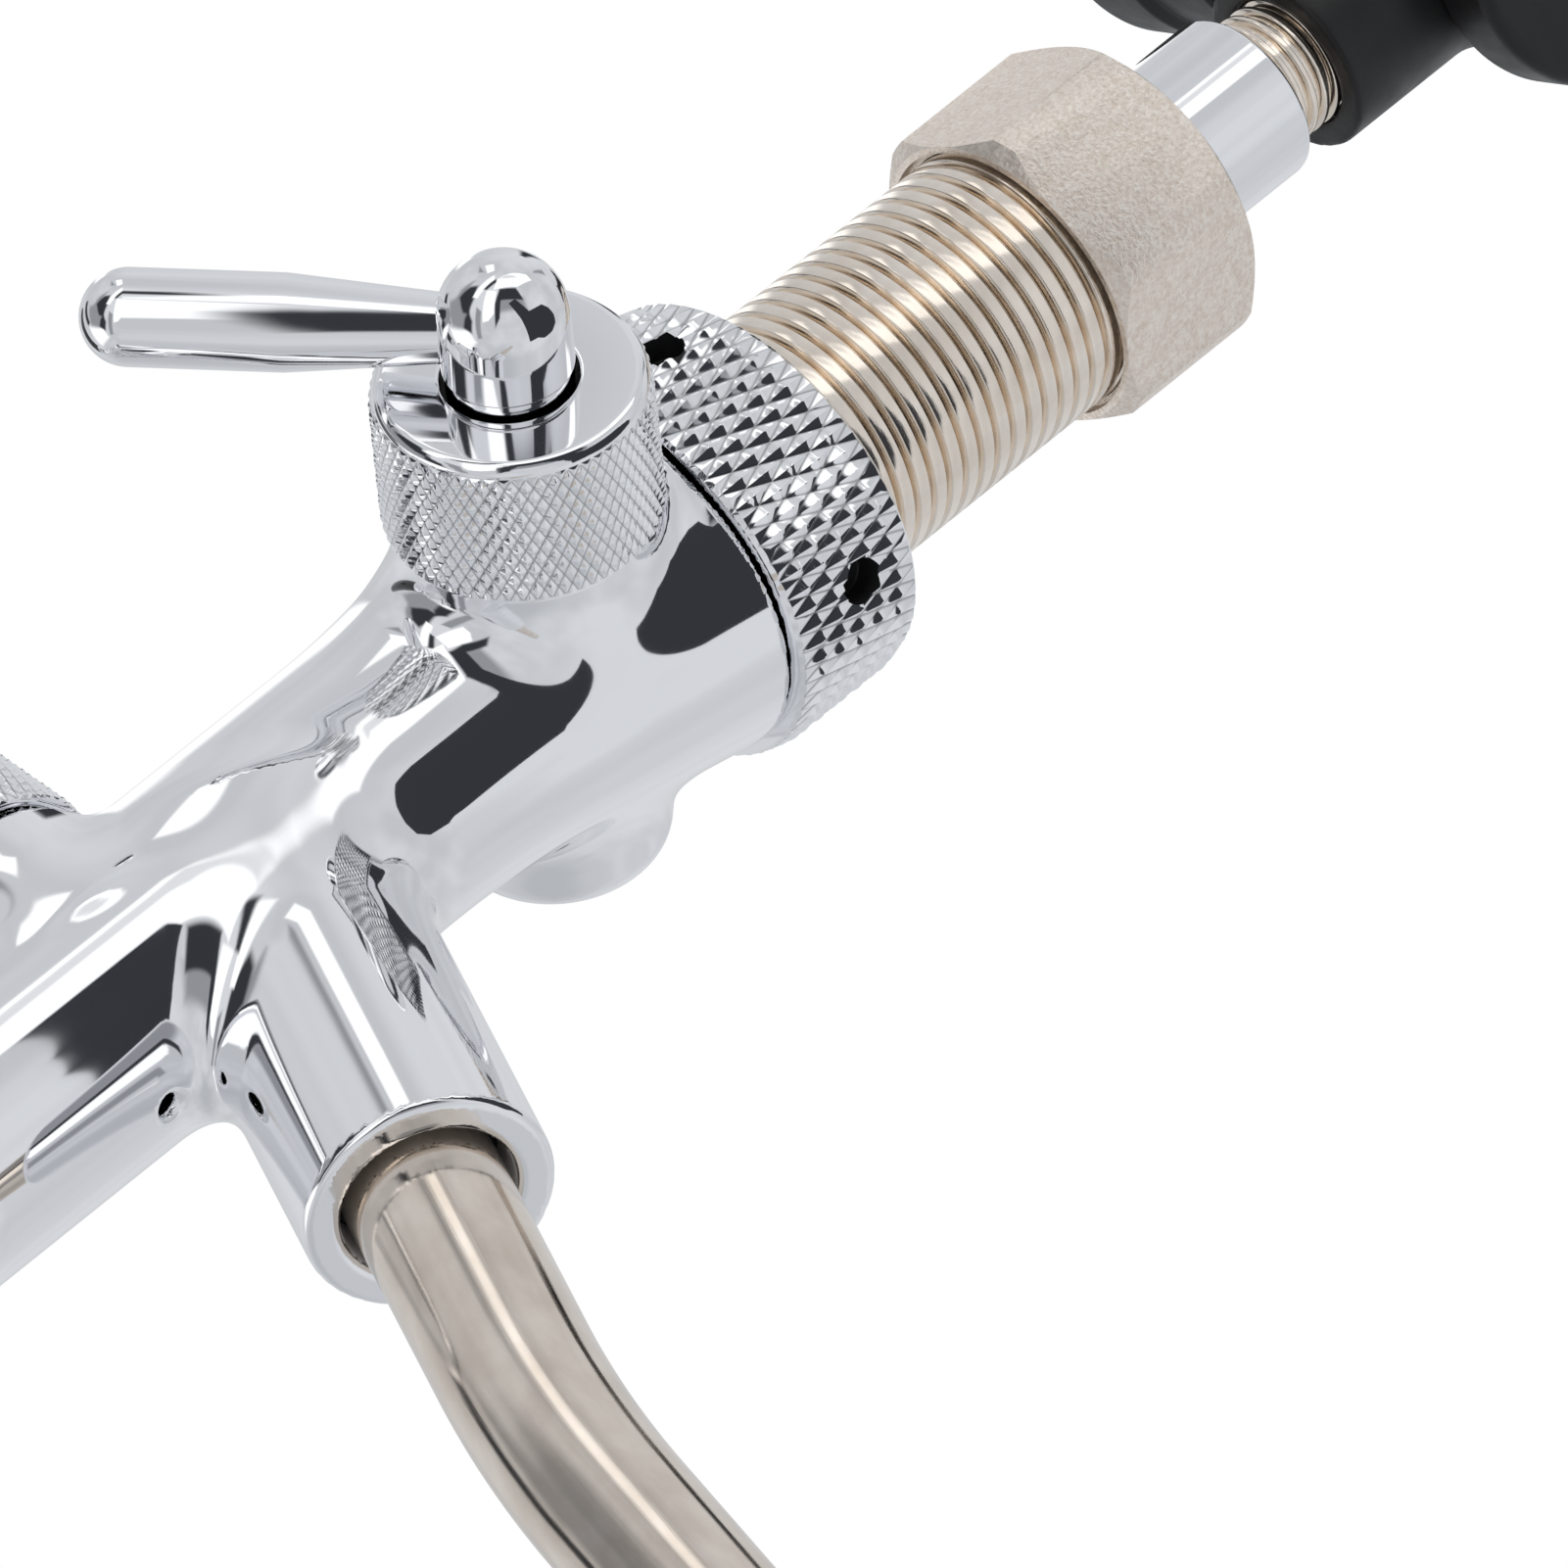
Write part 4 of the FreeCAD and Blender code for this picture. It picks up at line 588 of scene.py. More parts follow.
def cylinder(p, centre, direction, radius, start, end, edge=0.3):
    """Distance to a cylinder between two stations, with rounded rims."""
    offset = p - np.array(centre)
    station = offset @ np.array(direction)
    across = np.sqrt(np.maximum((offset ** 2).sum(-1) - station ** 2, 0)) - radius + edge
    along = np.maximum(start - station, station - end) + edge
    within = np.minimum(np.maximum(across, along), 0)
    return within + np.hypot(np.maximum(across, 0), np.maximum(along, 0)) - edge


# %% The form of the casting
BELL_RADIUS = 15.6
BELL_TAPER = math.radians(9.1)
BARREL_RADIUS = 11.7
NOSE_START = 83.5


def bell_and_barrel(p):
    """Bell that tapers into the straight barrel, which ends in a half-ball nose."""
    station = RIM_Y - p[..., 1]
    across = np.hypot(p[..., 0], p[..., 2])
    cone = (across - BELL_RADIUS + math.tan(BELL_TAPER) * station) * math.cos(BELL_TAPER)
    barrel = np.hypot(across, np.maximum(station - NOSE_START, 0)) - BARREL_RADIUS
    return smooth_union(cone, barrel, 1.03)


def body_form(p):
    """Distance to the casting before it is drilled."""
    form = bell_and_barrel(p)
    form = smooth_union(form, cylinder(p, FLOW_CENTRE, X_AXIS, 10.2, 0, 15.8, 0.5), 4.0)
    form = smooth_union(form, cylinder(p, FLOW_CENTRE, -X_AXIS, 9.0, 0, 19.2, 3.0), 3.5)
    form = smooth_union(form, cylinder(p, SPOUT_CENTRE, SPOUT_DIRECTION, 10.2, 0, 39.5, 0.8), 5.0)
    form = smooth_union(form, cylinder(p, NECK_BASE, BONNET_DIRECTION, 11.3, 0, 12.67, 0.8), 2.5)
    form = smooth_cut(form, RIM_Y + 0.2 - p[..., 1], 0.6)
    form = np.minimum(form, cylinder(p, NECK_BASE, BONNET_DIRECTION, 10.0, 0, 21.57, 0.4))
    form = np.minimum(form, cylinder(p, FLOW_CENTRE, X_AXIS, 9.0, 0, 22.5, 0.4))
    return np.minimum(form, cylinder(p, (0, RIM_Y - 3, 0), Y_AXIS, 13.6, 0, SPIGOT_END - RIM_Y + 3, 0.5))


BORES = {
    "valve chamber": ((0, SEAT_Y, 0), Y_AXIS, 8.6, 0, 60, 0.2),
    "waterway": ((0, SEAT_Y, 0), -Y_AXIS, 6.2, -1, 41.5, 0.5),
    "flow shaft": (FLOW_CENTRE, X_AXIS, 5.06, 0, 19.2, 0.2),
    "flow gland": (FLOW_CENTRE, X_AXIS, 7.9, 19.0, 26, 0.2),
    "far end of the flow shaft": (FLOW_CENTRE, -X_AXIS, 2.56, 0, 14.8, 0.2),
    "spout passage": (SPOUT_CENTRE, SPOUT_DIRECTION, 5.0, 0, 23, 0.2),
    "tube socket": (SPOUT_CENTRE, SPOUT_DIRECTION, 6.45, 22.5, 35, 0.2),
    "spout mouth": (SPOUT_CENTRE, SPOUT_DIRECTION, 7.1, 34.0, 44, 0.2),
    "finger way": (HANDLE_CENTRE, BONNET_DIRECTION, 4.9, -18, 0, 0.2),
    "ball chamber": (HANDLE_CENTRE, BONNET_DIRECTION, 7.95, -7.9, 9, 0.2),
    "vent hole": ((0, RIM_Y - 65.8, 0), -Z_AXIS, 0.9, 0, 13, 0.2),
}


def body_bores(p):
    """Distance to everything that is drilled out of the body."""
    return np.minimum.reduce([cylinder(p, *bore) for bore in BORES.values()])


def cast_body(p):
    """The drilled body, with every bore's edge eased."""
    return smooth_cut(body_form(p), body_bores(p), 1.0)


# %% [markdown]
# ### From distances to a mesh
# The field is sampled on a regular grid. Where a grid edge crosses zero, the surface passes through it, so each
# grid cell with such edges gets one point near the surface, and each crossed edge becomes a face between the
# four cells round it. The points are then pushed onto the exact surface along the field's slope, and the same
# slope gives the shading normals.


# %% Surface of a distance field
def field_slope(field, points, step=0.01):
    """Unit direction in which the distance grows."""
    slopes = []
    for axis in range(3):
        shift = np.zeros(3)
        shift[axis] = step
        slopes.append(field(points + shift) - field(points - shift))
    slope = np.stack(slopes, -1)
    return slope / np.maximum(np.linalg.norm(slope, axis=-1, keepdims=True), 1e-9)


def field_mesh(field, low, high, step):
    """Points, faces and normals of a field's zero surface, which is closed."""
    axes = [np.arange(a, b + step, step) for a, b in zip(low, high)]
    shape = [len(a) for a in axes]
    values = np.empty(shape, np.float32)
    yy, zz = np.meshgrid(axes[1], axes[2], indexing="ij")
    for index, x in enumerate(axes[0]):
        values[index] = field(np.stack([np.full_like(yy, x), yy, zz], -1))
    inside = values < 0
    cells = np.zeros([n - 1 for n in shape], np.int8)
    sums = np.zeros([n - 1 for n in shape] + [3], np.float32)
    crossings = []
    for axis in range(3):
        near = [slice(None)] * 3
        far = [slice(None)] * 3
        near[axis], far[axis] = slice(0, -1), slice(1, None)
        near, far = tuple(near), tuple(far)
        crossed = inside[near] != inside[far]
        spots = np.argwhere(crossed)
        where = spots.astype(np.float32)
        where[:, axis] += values[near][crossed] / (values[near][crossed] - values[far][crossed])
        others = [k for k in range(3) if k != axis]
        ring = []
        for back_a, back_b in ((1, 1), (0, 1), (0, 0), (1, 0)):
            cell = spots.copy()
            cell[:, others[0]] -= back_a
            cell[:, others[1]] -= back_b
            np.add.at(cells, tuple(cell.T), 1)
            np.add.at(sums, tuple(cell.T), where)
            ring.append(cell)
        crossings.append((ring, inside[near][crossed] if axis != 1 else ~inside[near][crossed]))
    used = cells > 0
    number = np.full(cells.shape, -1, np.int64)
    number[used] = np.arange(used.sum())
    points = sums[used] / cells[used][:, None] * step + np.array([a[0] for a in axes])
    faces = []
    for ring, forwards in crossings:
        loop = np.stack([number[tuple(cell.T)] for cell in ring], -1)
        loop[~forwards] = loop[~forwards][:, ::-1]
        faces.append(loop)
    for _ in range(4):
        points = points - field_slope(field, points) * field(points)[:, None]
    return points, np.concatenate(faces), field_slope(field, points)


# %% Build the body
BODY_STEP = 0.5
points, faces, normals = field_mesh(cast_body, (-20.0, -110.5, -46.0), (24.0, -5.0, 24.5), BODY_STEP)
body = dress(new_piece("cast_body", points, faces, normals), CHROME, "faucet_body")
print("body:", len(points), "points,", len(faces), "faces")

# %% The unplated mouth of the spout boss
MOUTH_SPAN = (33, 39.0)
MOUTH_REACH = 7.6
body.data.materials.append(MOUTH_GREY)
lined = 0
for polygon in body.data.polygons:
    offset = polygon.center / MM - SPOUT_CENTRE
    station = offset.dot(SPOUT_DIRECTION)
    if MOUTH_SPAN[0] < station < MOUTH_SPAN[1] and (offset - SPOUT_DIRECTION * station).length < MOUTH_REACH:
        polygon.material_index = 1
        lined += 1
print("faces in the mouth:", lined)

# %% [markdown]
# ## Plain turned parts
# The lever hub, the tail, the bonnet's lever parts and the seals are turned, so an outline is all they need.
# The flow lever is a tapered rod with a round end, which the same lathe makes.

# %% Flow-control hub and lever
turned("flow_lever_hub", [(0, 30.9), (5.2, 30.9, 0.3), (5.2, 36.0)]
       + arc((5.2, 36.0), (3.677, 39.677), (0, 41.2)), FLOW_CENTRE, X_AXIS, CHROME)
ROD_BASE = FLOW_CENTRE + X_AXIS * 34.4
turned("flow_lever", [(0, 0.3), (2.0, 0.3), (2.0, 4.6), (2.75, 4.6), (3.85, 17.0), (3.85, 29.15)]
       + arc((3.85, 29.15), (2.722, 31.872), (0, 33.0)), ROD_BASE, FLOW_LEVER_DIRECTION, CHROME)

# %% Tail, handle parts and the disconnect's turned shells
turned("tail_stub", [(3.5, 38.4), (10.9, 38.4), (10.9, 41.0), (7.15, 41.0), (7.15, 56.1, 0.5), (5.6, 56.1, 0.2),
                     (5.6, 49.8), (3.5, 49.8)], ORIGIN, Y_AXIS, CHROME)
turned("handle_ferrule", [(4.05, 15), (5.2, 15, 0.4), (5.2, 17.5, 1.5), (7.4, 22.5, 1.5), (7.4, 25, 0.5),
                          (4.05, 25)], HANDLE_CENTRE, LEVER_DIRECTION, CHROME)
turned("handle_grip", [(4.05, 25), (6.6, 25, 0.5)] + arc((6.6, 25), (9.27, 55.75), (10.5, 86.5), 24)
       + arc((10.5, 86.5), (7.425, 93.925), (0, 97.0)) + [(0, 43.3), (4.05, 43.3)],
       HANDLE_CENTRE, LEVER_DIRECTION, GRIP_BLACK)
turned("disconnect_cap", [(0, -13.5), (13.8, -13.5, 1.2), (13.8, -8, 0.3), (5.95, -8), (5.95, -5), (0, -5)],
       DISCONNECT_CENTRE, DISCONNECT_DIRECTION, BLACK_PLASTIC)
turned("disconnect_sleeve", [(12, 24), (13, 24, 0.4), (13, 31, 0.6), (13.8, 31.8, 0.6), (13.8, 38.5, 0.8),
                             (11.9, 38.5), (11.9, 36.6), (10.7, 35.4), (10.7, 31.4), (12, 31.4)],
       DISCONNECT_CENTRE, DISCONNECT_DIRECTION, FINISHES[slot_of["disconnect_sleeve"]])

# %% [markdown]
# ## The disconnect's body
# The black plastic body is a barrel with a side port, moulded in one with a small fillet, so the distance field
# serves here too. The six pockets round the mouth hold the lock balls.


# %% Disconnect body
def disconnect_form(p):
    """Distance to the plastic body of the disconnect."""
    centre, along = DISCONNECT_CENTRE, DISCONNECT_DIRECTION
    barrel = cylinder(p, centre, along, 11.5, -8, 19.5, 0.4)
    form = smooth_union(barrel, cylinder(p, (0, 60.8, 0), Y_AXIS, 7.8, 0, 24.2, 0.5), 2.0)
    form = np.minimum(form, cylinder(p, centre, along, 10.4, 10, 38, 0.4))
    hollow = cylinder(p, centre, along, 6.0, -20, 12, 0.2)
    hollow = np.minimum(hollow, cylinder(p, centre, along, 2.8, 0, 30, 0.2))
    hollow = np.minimum(hollow, cylinder(p, centre, along, 8.75, 15, 50, 0.2))
    hollow = np.minimum(hollow, cylinder(p, (0, 55, 0), Y_AXIS, 5.6, 0, 14.8, 0.2))
    hollow = np.minimum(hollow, cylinder(p, (0, 55, 0), Y_AXIS, 2.4, 0, 30, 0.2))
    outward = along.cross(Y_AXIS)
    for index in range(6):
        way = Matrix.Rotation(math.radians(60 * index), 3, along) @ outward
        hollow = np.minimum(hollow, cylinder(p, centre + along * 33.4, way, 1.75, 7.15, 13, 0.1))
    return smooth_cut(form, hollow, 0.6)


points, faces, normals = field_mesh(disconnect_form, (-29, 60, -16), (15, 98, 41), 0.5)
dress(new_piece("moulded_disconnect", points, faces, normals), BLACK_PLASTIC, "disconnect_body")
print("disconnect:", len(faces), "faces")

# %% [markdown]
# ## The spout tube
# A bent tube is a ring swept along its centre line: straight, a gentle bend, and straight again. Its UV map
# runs round the tube and along it, so the drawing lines of the steel can follow the bend.

# %% Spout tube
TUBE_START = 22.5
BEND_START = 58.5
BEND_RADIUS = 105.0
BEND_ANGLE = math.radians(10.6)
LAST_RUN = 45.0


def tube_frame(station):
    """Point and direction of the tube's centre line at a distance along it."""
    bend_length = BEND_RADIUS * BEND_ANGLE
    turn = min(max(station - BEND_START, 0) / BEND_RADIUS, BEND_ANGLE)
    spin = Matrix.Rotation(turn, 3, X_AXIS)
    side = X_AXIS.cross(SPOUT_DIRECTION)
    centre = SPOUT_CENTRE + SPOUT_DIRECTION * BEND_START + side * BEND_RADIUS
    point = SPOUT_CENTRE + SPOUT_DIRECTION * min(station, BEND_START)
    if station > BEND_START:
        point = centre - spin @ side * BEND_RADIUS
    way = spin @ SPOUT_DIRECTION
    return point + way * max(station - BEND_START - bend_length, 0), way


def spout_tube_mesh(segments, rings):
    """Closed tube wall with rounded rims, with normals and a UV for each point."""
    end = BEND_START + BEND_RADIUS * BEND_ANGLE + LAST_RUN
    stations = [TUBE_START + 0.2] + list(np.linspace(TUBE_START + 0.5, end - 0.5, rings)) + [end - 0.2]
    wall = [(6.4, station, 1.0, 0.0) for station in stations]
    wall += [(6.25, end, 0.5, 0.9), (5.75, end, -0.5, 0.9)]
    wall += [(5.6, station, -1.0, 0.0) for station in stations[::-1]]
    wall += [(5.75, TUBE_START, -0.5, -0.9), (6.25, TUBE_START, 0.5, -0.9)]
    points, normals, maps, faces = [], [], [], []
    for radius, station, out, forward in wall:
        point, way = tube_frame(station)
        across = way.cross(X_AXIS)
        for step in range(segments):
            angle = 2 * math.pi * step / segments
            spoke = X_AXIS * math.cos(angle) + across * math.sin(angle)
            points.append(point + spoke * radius)
            normals.append((spoke * out + way * forward).normalized())
            maps.append((step / segments, station / 40.0))
    for row in range(len(wall)):
        for step in range(segments):
            here, there = row * segments, ((row + 1) % len(wall)) * segments
            following = (step + 1) % segments
            faces.append((here + step, here + following, there + following, there + step))
    return points, normals, maps, faces


TUBE_SEGMENTS = 96
points, normals, maps, faces = spout_tube_mesh(TUBE_SEGMENTS, 70)
tube = new_piece("drawn_tube", points, faces, normals)
layer = tube.data.uv_layers.new(name="UVMap")
for polygon in tube.data.polygons:
    corners = [tube.data.loops[loop].vertex_index for loop in polygon.loop_indices]
    wraps = any(maps[c][0] == 0 for c in corners) and any(maps[c][0] > 0.5 for c in corners)
    for loop, corner in zip(polygon.loop_indices, corners):
        u, v = maps[corner]
        layer.data[loop].uv = (1.0 if wraps and u == 0 else u, v)
dress(tube, DRAWN_STEEL, "spout_tube")
tube_end, _ = tube_frame(BEND_START + BEND_RADIUS * BEND_ANGLE + LAST_RUN)
print("tube ends at", tuple(round(c, 1) for c in tube_end))

# %% [markdown]
# ## Knurls
# A knurl is one small pyramid repeated hundreds of times, so Geometry Nodes makes it: a tile with one whole and
# four quarter pyramids is put on every point of a flat grid, the tiles are welded, and the sheet is wrapped
# round the axis. Near both ends a bevel cuts the pyramids, which is only a limit on how far out a point may
# be. The turned core of the part is joined to the sheet along two rings that both share.


# %% One tile of the knurl
def tile_nodes(soft):
    """Positions of the tile's grid lines, as shares of its width."""
    return [0, soft / 2, (1 - soft) / 2, 0.5, (1 + soft) / 2, 1 - soft / 2, 1]


def knurl_tile(name, around, along, depth, soft):
    """Flat tile with pyramids at its middle and corners, whose tops and grooves are a little rounded."""
    nodes = tile_nodes(soft)
    points, faces = [], []
    for v in nodes:
        for u in nodes:
            q = 2 * (min(u, 1 - u) + min(v, 1 - v))
            q = min(q, 2 - q)
            rise = 1 - q
            if q < soft:
                rise = 1 - 0.6 * soft - 0.4 * q
            elif rise < soft:
                rise = 0.6 * soft + 0.4 * rise
            points.append(((u - 0.5) * around, (v - 0.5) * along, -depth * (1 - rise)))
    count = len(nodes)
    for row in range(count - 1):
        for column in range(count - 1):
            a = row * count + column
            b, c, d = a + 1, a + count + 1, a + count
            if (row < count // 2) == (column < count // 2):
                faces += [(a, b, d), (b, c, d)]
            else:
                faces += [(a, b, c), (a, c, d)]
    tile = new_piece(name, points, faces)
    tile.hide_render = True
    return tile


# %% Node tree that wraps the tiles
def group_tree(name, sockets):
    """Geometry node group with named inputs."""
    tree = bpy.data.node_groups.new(name, "GeometryNodeTree")
    tree.interface.new_socket("Geometry", in_out="OUTPUT", socket_type="NodeSocketGeometry")
    tree.interface.new_socket("Geometry", in_out="INPUT", socket_type="NodeSocketGeometry")
    for label, kind in sockets:
        tree.interface.new_socket(label, in_out="INPUT", socket_type="NodeSocket" + kind)
    return tree, tree.nodes.new("NodeGroupInput"), tree.nodes.new("NodeGroupOutput")


knurl, given, result = group_tree("wrapped_knurl", [
    ("Tile", "Object"), ("Around", "Int"), ("Along", "Int"), ("Tile Width", "Float"), ("Tile Length", "Float"),
    ("Radius", "Float"), ("Start", "Float"), ("End", "Float"), ("Start Bevel", "Float"), ("End Bevel", "Float"),
    ("Depth", "Float"), ("Material", "Material")])
g = given.outputs
width = maths(knurl, "MULTIPLY", maths(knurl, "SUBTRACT", g["Around"], 1.0), g["Tile Width"])
length = maths(knurl, "MULTIPLY", maths(knurl, "SUBTRACT", g["Along"], 1.0), g["Tile Length"])
grid = add_node(knurl, "GeometryNodeMeshGrid", {"Size X": width, "Size Y": length, "Vertices X": g["Around"],
                                               "Vertices Y": g["Along"]})
tile_shape = add_node(knurl, "GeometryNodeObjectInfo", {"Object": g["Tile"]})
tiles = add_node(knurl, "GeometryNodeInstanceOnPoints", {"Points": grid.outputs[0],
                                                        "Instance": tile_shape.outputs["Geometry"]})
real = add_node(knurl, "GeometryNodeRealizeInstances", {0: tiles.outputs[0]})
sheet = add_node(knurl, "GeometryNodeMergeByDistance", {"Geometry": real.outputs[0], "Distance": 1e-6})
spot = add_node(knurl, "ShaderNodeSeparateXYZ", {0: add_node(knurl, "GeometryNodeInputPosition").outputs[0]})
groove = maths(knurl, "DIVIDE", maths(knurl, "MULTIPLY", spot.outputs["Z"], -1.0), g["Depth"])
marked = add_node(knurl, "GeometryNodeStoreNamedAttribute", {"Geometry": sheet.outputs[0], "Name": "groove"},
                  data_type="FLOAT", domain="POINT")
knurl.links.new(groove, marked.inputs["Value"])
angle = maths(knurl, "DIVIDE", spot.outputs["X"], g["Radius"])
middle = maths(knurl, "MULTIPLY", maths(knurl, "ADD", g["Start"], g["End"]), 0.5)
station = maths(knurl, "ADD", spot.outputs["Y"], middle)
radius = maths(knurl, "ADD", g["Radius"], spot.outputs["Z"])
for bevel, gap in (("Start Bevel", maths(knurl, "SUBTRACT", station, g["Start"])),
                   ("End Bevel", maths(knurl, "SUBTRACT", g["End"], station))):
    cut = maths(knurl, "MAXIMUM", maths(knurl, "SUBTRACT", g[bevel], gap), 0.0)
    radius = maths(knurl, "MINIMUM", radius, maths(knurl, "SUBTRACT", g["Radius"], cut))
wrapped = add_node(knurl, "ShaderNodeCombineXYZ", {
    "X": maths(knurl, "MULTIPLY", radius, maths(knurl, "COSINE", angle)),
    "Y": maths(knurl, "MULTIPLY", radius, maths(knurl, "SINE", angle)), "Z": station})
moved = add_node(knurl, "GeometryNodeSetPosition", {"Geometry": marked.outputs[0],
                                                    "Position": wrapped.outputs[0]})
joined = add_node(knurl, "GeometryNodeJoinGeometry")
knurl.links.new(moved.outputs[0], joined.inputs[0])
knurl.links.new(g["Geometry"], joined.inputs[0])
welded = add_node(knurl, "GeometryNodeMergeByDistance", {"Geometry": joined.outputs[0], "Distance": 2e-6})
all_real = add_node(knurl, "GeometryNodeRealizeInstances", {0: welded.outputs[0]})
painted = add_node(knurl, "GeometryNodeSetMaterial", {"Geometry": all_real.outputs[0],
                                                      "Material": g["Material"]})
knurl.links.new(painted.outputs[0], result.inputs[0])
print("knurl tree:", len(knurl.nodes), "nodes")


# %% Run a node tree on a mesh
def run_tree(name, base, tree, values):
    """Plain mesh object that a node tree makes from a base object."""
    modifier = base.modifiers.new("tree", "NODES")
    modifier.node_group = tree
    for item in tree.interface.items_tree:
        if item.item_type == "SOCKET" and item.in_out == "INPUT" and item.name in values:
            modifier[item.identifier] = values[item.name]
    base.update_tag()
    bpy.context.view_layer.update()
    mesh = bpy.data.meshes.new_from_object(base.evaluated_get(bpy.context.evaluated_depsgraph_get()))
    mesh.name = name
    piece = bpy.data.objects.new(name, mesh)
    bpy.context.scene.collection.objects.link(piece)
    bpy.data.objects.remove(base)
    return piece


def faces_outward(mesh):
    """Turn all faces round if the mesh is inside out."""
    work = bmesh.new()
    work.from_mesh(mesh)
    volume = work.calc_volume(signed=True)
    if volume < 0:
        bmesh.ops.reverse_faces(work, faces=work.faces)
    open_edges = sum(1 for edge in work.edges if not edge.is_manifold)
    work.to_mesh(mesh)
    work.free()
    return volume, open_edges


def set_in_place(piece, centre, direction, sharpest):
    """Turn a piece that was made round Z into its place and keep edges sharper than an angle in degrees."""
    piece.data.transform(Matrix.Scale(MM, 4) @ placement(centre, direction) @ Matrix.Scale(1 / MM, 4))
    volume, open_edges = faces_outward(piece.data)
    piece.data.polygons.foreach_set("use_smooth", [True] * len(piece.data.polygons))
    piece.data.set_sharp_from_angle(angle=math.radians(sharpest))
    print(piece.name, len(piece.data.polygons), "faces,", round(volume * 1e9), "mm3, open edges", open_edges)


# %% Knurled parts
KNURL_SHARP = 22


def knurled(node_name, core, centre, direction, radius, band, bevel, counts, depth, soft=0.16):
    """Knurled turned part. Its core is an open outline that runs from the band's end round to its start."""
    around, along = counts
    start, end = band
    tile = knurl_tile(node_name + "_tile", 2 * math.pi * radius / around, (end - start) / along, depth, soft)
    angles = [2 * math.pi * ((cell + share) / around - 0.5) for cell in range(around)
              for share in tile_nodes(soft)[:-1]]
    profile, _ = rounded(core, 0.25, closed=False, support=0.12)
    points, _, faces = turned_mesh(profile, profile, angles, closed=False)
    base = new_piece(node_name + "_core", points, faces)
    piece = run_tree("knurled_" + node_name, base, knurl, {
        "Tile": tile, "Around": around, "Along": along, "Tile Width": 2 * math.pi * radius * MM / around,
        "Tile Length": (end - start) * MM / along, "Radius": radius * MM, "Start": start * MM, "End": end * MM,
        "Start Bevel": bevel * MM, "End Bevel": bevel * MM, "Depth": depth * MM, "Material": KNURLED_CHROME})
    bpy.data.objects.remove(tile)
    set_in_place(piece, centre, direction, KNURL_SHARP)
    return piece


# %% Collar, gland cap and bonnet
collar = knurled("coupling_collar", [(16.35, 0.3), (11.9, 0.3), (11.9, -3), (13.65, -3), (13.65, -12.8),
                                     (16.35, -12.8)],
                 ORIGIN, Y_AXIS, 17.15, (-12.8, 0.3), 0.8, (63, 3), 0.6)
cap = knurled("flow_cap", [(10.75, 28.7)] + arc((10.75, 28.7), (10.44, 29.48), (9.7, 29.8), 8) + [
                           (5.45, 29.8, 0.2), (5.45, 22.5), (9.05, 22.5), (9.05, 16.0), (10.75, 16.0)],
              FLOW_CENTRE, X_AXIS, 11.1, (16.0, 28.7), 0.35, (61, 6), 0.36)
dress(cap, KNURLED_CHROME, "flow_cap")
BONNET_BEND = 2.4 * (1 - math.sqrt(0.5))
bonnet_top = arc((12, 8.8), (12 - BONNET_BEND, 11.2 - BONNET_BEND), (9.6, 11.2), 8)
bonnet = knurled("handle_bonnet", [(11.65, 9.0)] + bonnet_top[2:] + [(6.6, 11.2, 0.3), (6.6, 6.8), (9.35, 6.8),
                                                                   (9.35, 3.5), (10.05, 3.5), (10.05, -5),
                                                                   (11.65, -5)],
                 HANDLE_CENTRE, BONNET_DIRECTION, 12.0, (-5, 9.0), 0.35, (66, 6), 0.36)
dress(bonnet, KNURLED_CHROME, "handle_bonnet")

# %% [markdown]
# ### Spanner holes
# The collar has four blind holes for a spanner. They are drilled through the finished knurl with a Boolean,
# so their edges run over the pyramids as they do on the real collar. The faces inside them are painted near
# black, as painted shade.


# %% Spanner holes
def drilled(piece, cutters):
    """Cut a list of objects out of a piece."""
    for cutter in cutters:
        modifier = piece.modifiers.new("cut", "BOOLEAN")
        modifier.operation = "DIFFERENCE"
        modifier.solver = "EXACT"
        modifier.object = cutter
    bpy.context.view_layer.update()
    mesh = bpy.data.meshes.new_from_object(piece.evaluated_get(bpy.context.evaluated_depsgraph_get()))
    piece.modifiers.clear()
    piece.data = mesh
    for cutter in cutters:
        bpy.data.objects.remove(cutter)


HOLE_STATION = Vector((0, -5.4, 0))
HOLE_FLOOR = 14.4
HOLE_RADIUS = 1.9
hole_angles = [math.radians(11.5 + 90 * index) for index in range(4)]
hole_ways = [Vector((math.cos(hole_angle), 0, math.sin(hole_angle))) for hole_angle in hole_angles]
drill_outline = [(0, HOLE_FLOOR), (HOLE_RADIUS, HOLE_FLOOR, 0.3), (HOLE_RADIUS, 18.0), (0, 18.0)]
points, _, faces = turned_mesh(*rounded(drill_outline, 0.1), even_angles(40))
drilled(collar, [new_piece("drill", points, faces, None, placement(HOLE_STATION, outward))
                 for outward in hole_ways])
collar.data.set_sharp_from_angle(angle=math.radians(KNURL_SHARP))
dress(collar, KNURLED_CHROME, "coupling_collar")
# Painted shade: the faces inside the spanner holes get the near-black painted shade.
collar.data.materials.append(HOLE_SHADE)
for polygon in collar.data.polygons:
    offset = polygon.center / MM - HOLE_STATION
    for outward in hole_ways:
        height = offset.dot(outward)
        if HOLE_FLOOR - 0.4 < height < 16.9 and (offset - outward * height).length < HOLE_RADIUS + 0.03:
            polygon.material_index = 1
print("collar with holes:", len(collar.data.polygons), "faces")

# %% [markdown]
# ## Threads
# A thread is a ridge that winds round a core. It could be a Screw modifier on a profile, but a node tree keeps
# its sizes as named inputs, so one tree serves both threads. It draws a spiral, sweeps a trapezoid with eased
# corners along it and joins the ridge to the core. The ridge starts a little below the core's surface, so that
# no gap shows.

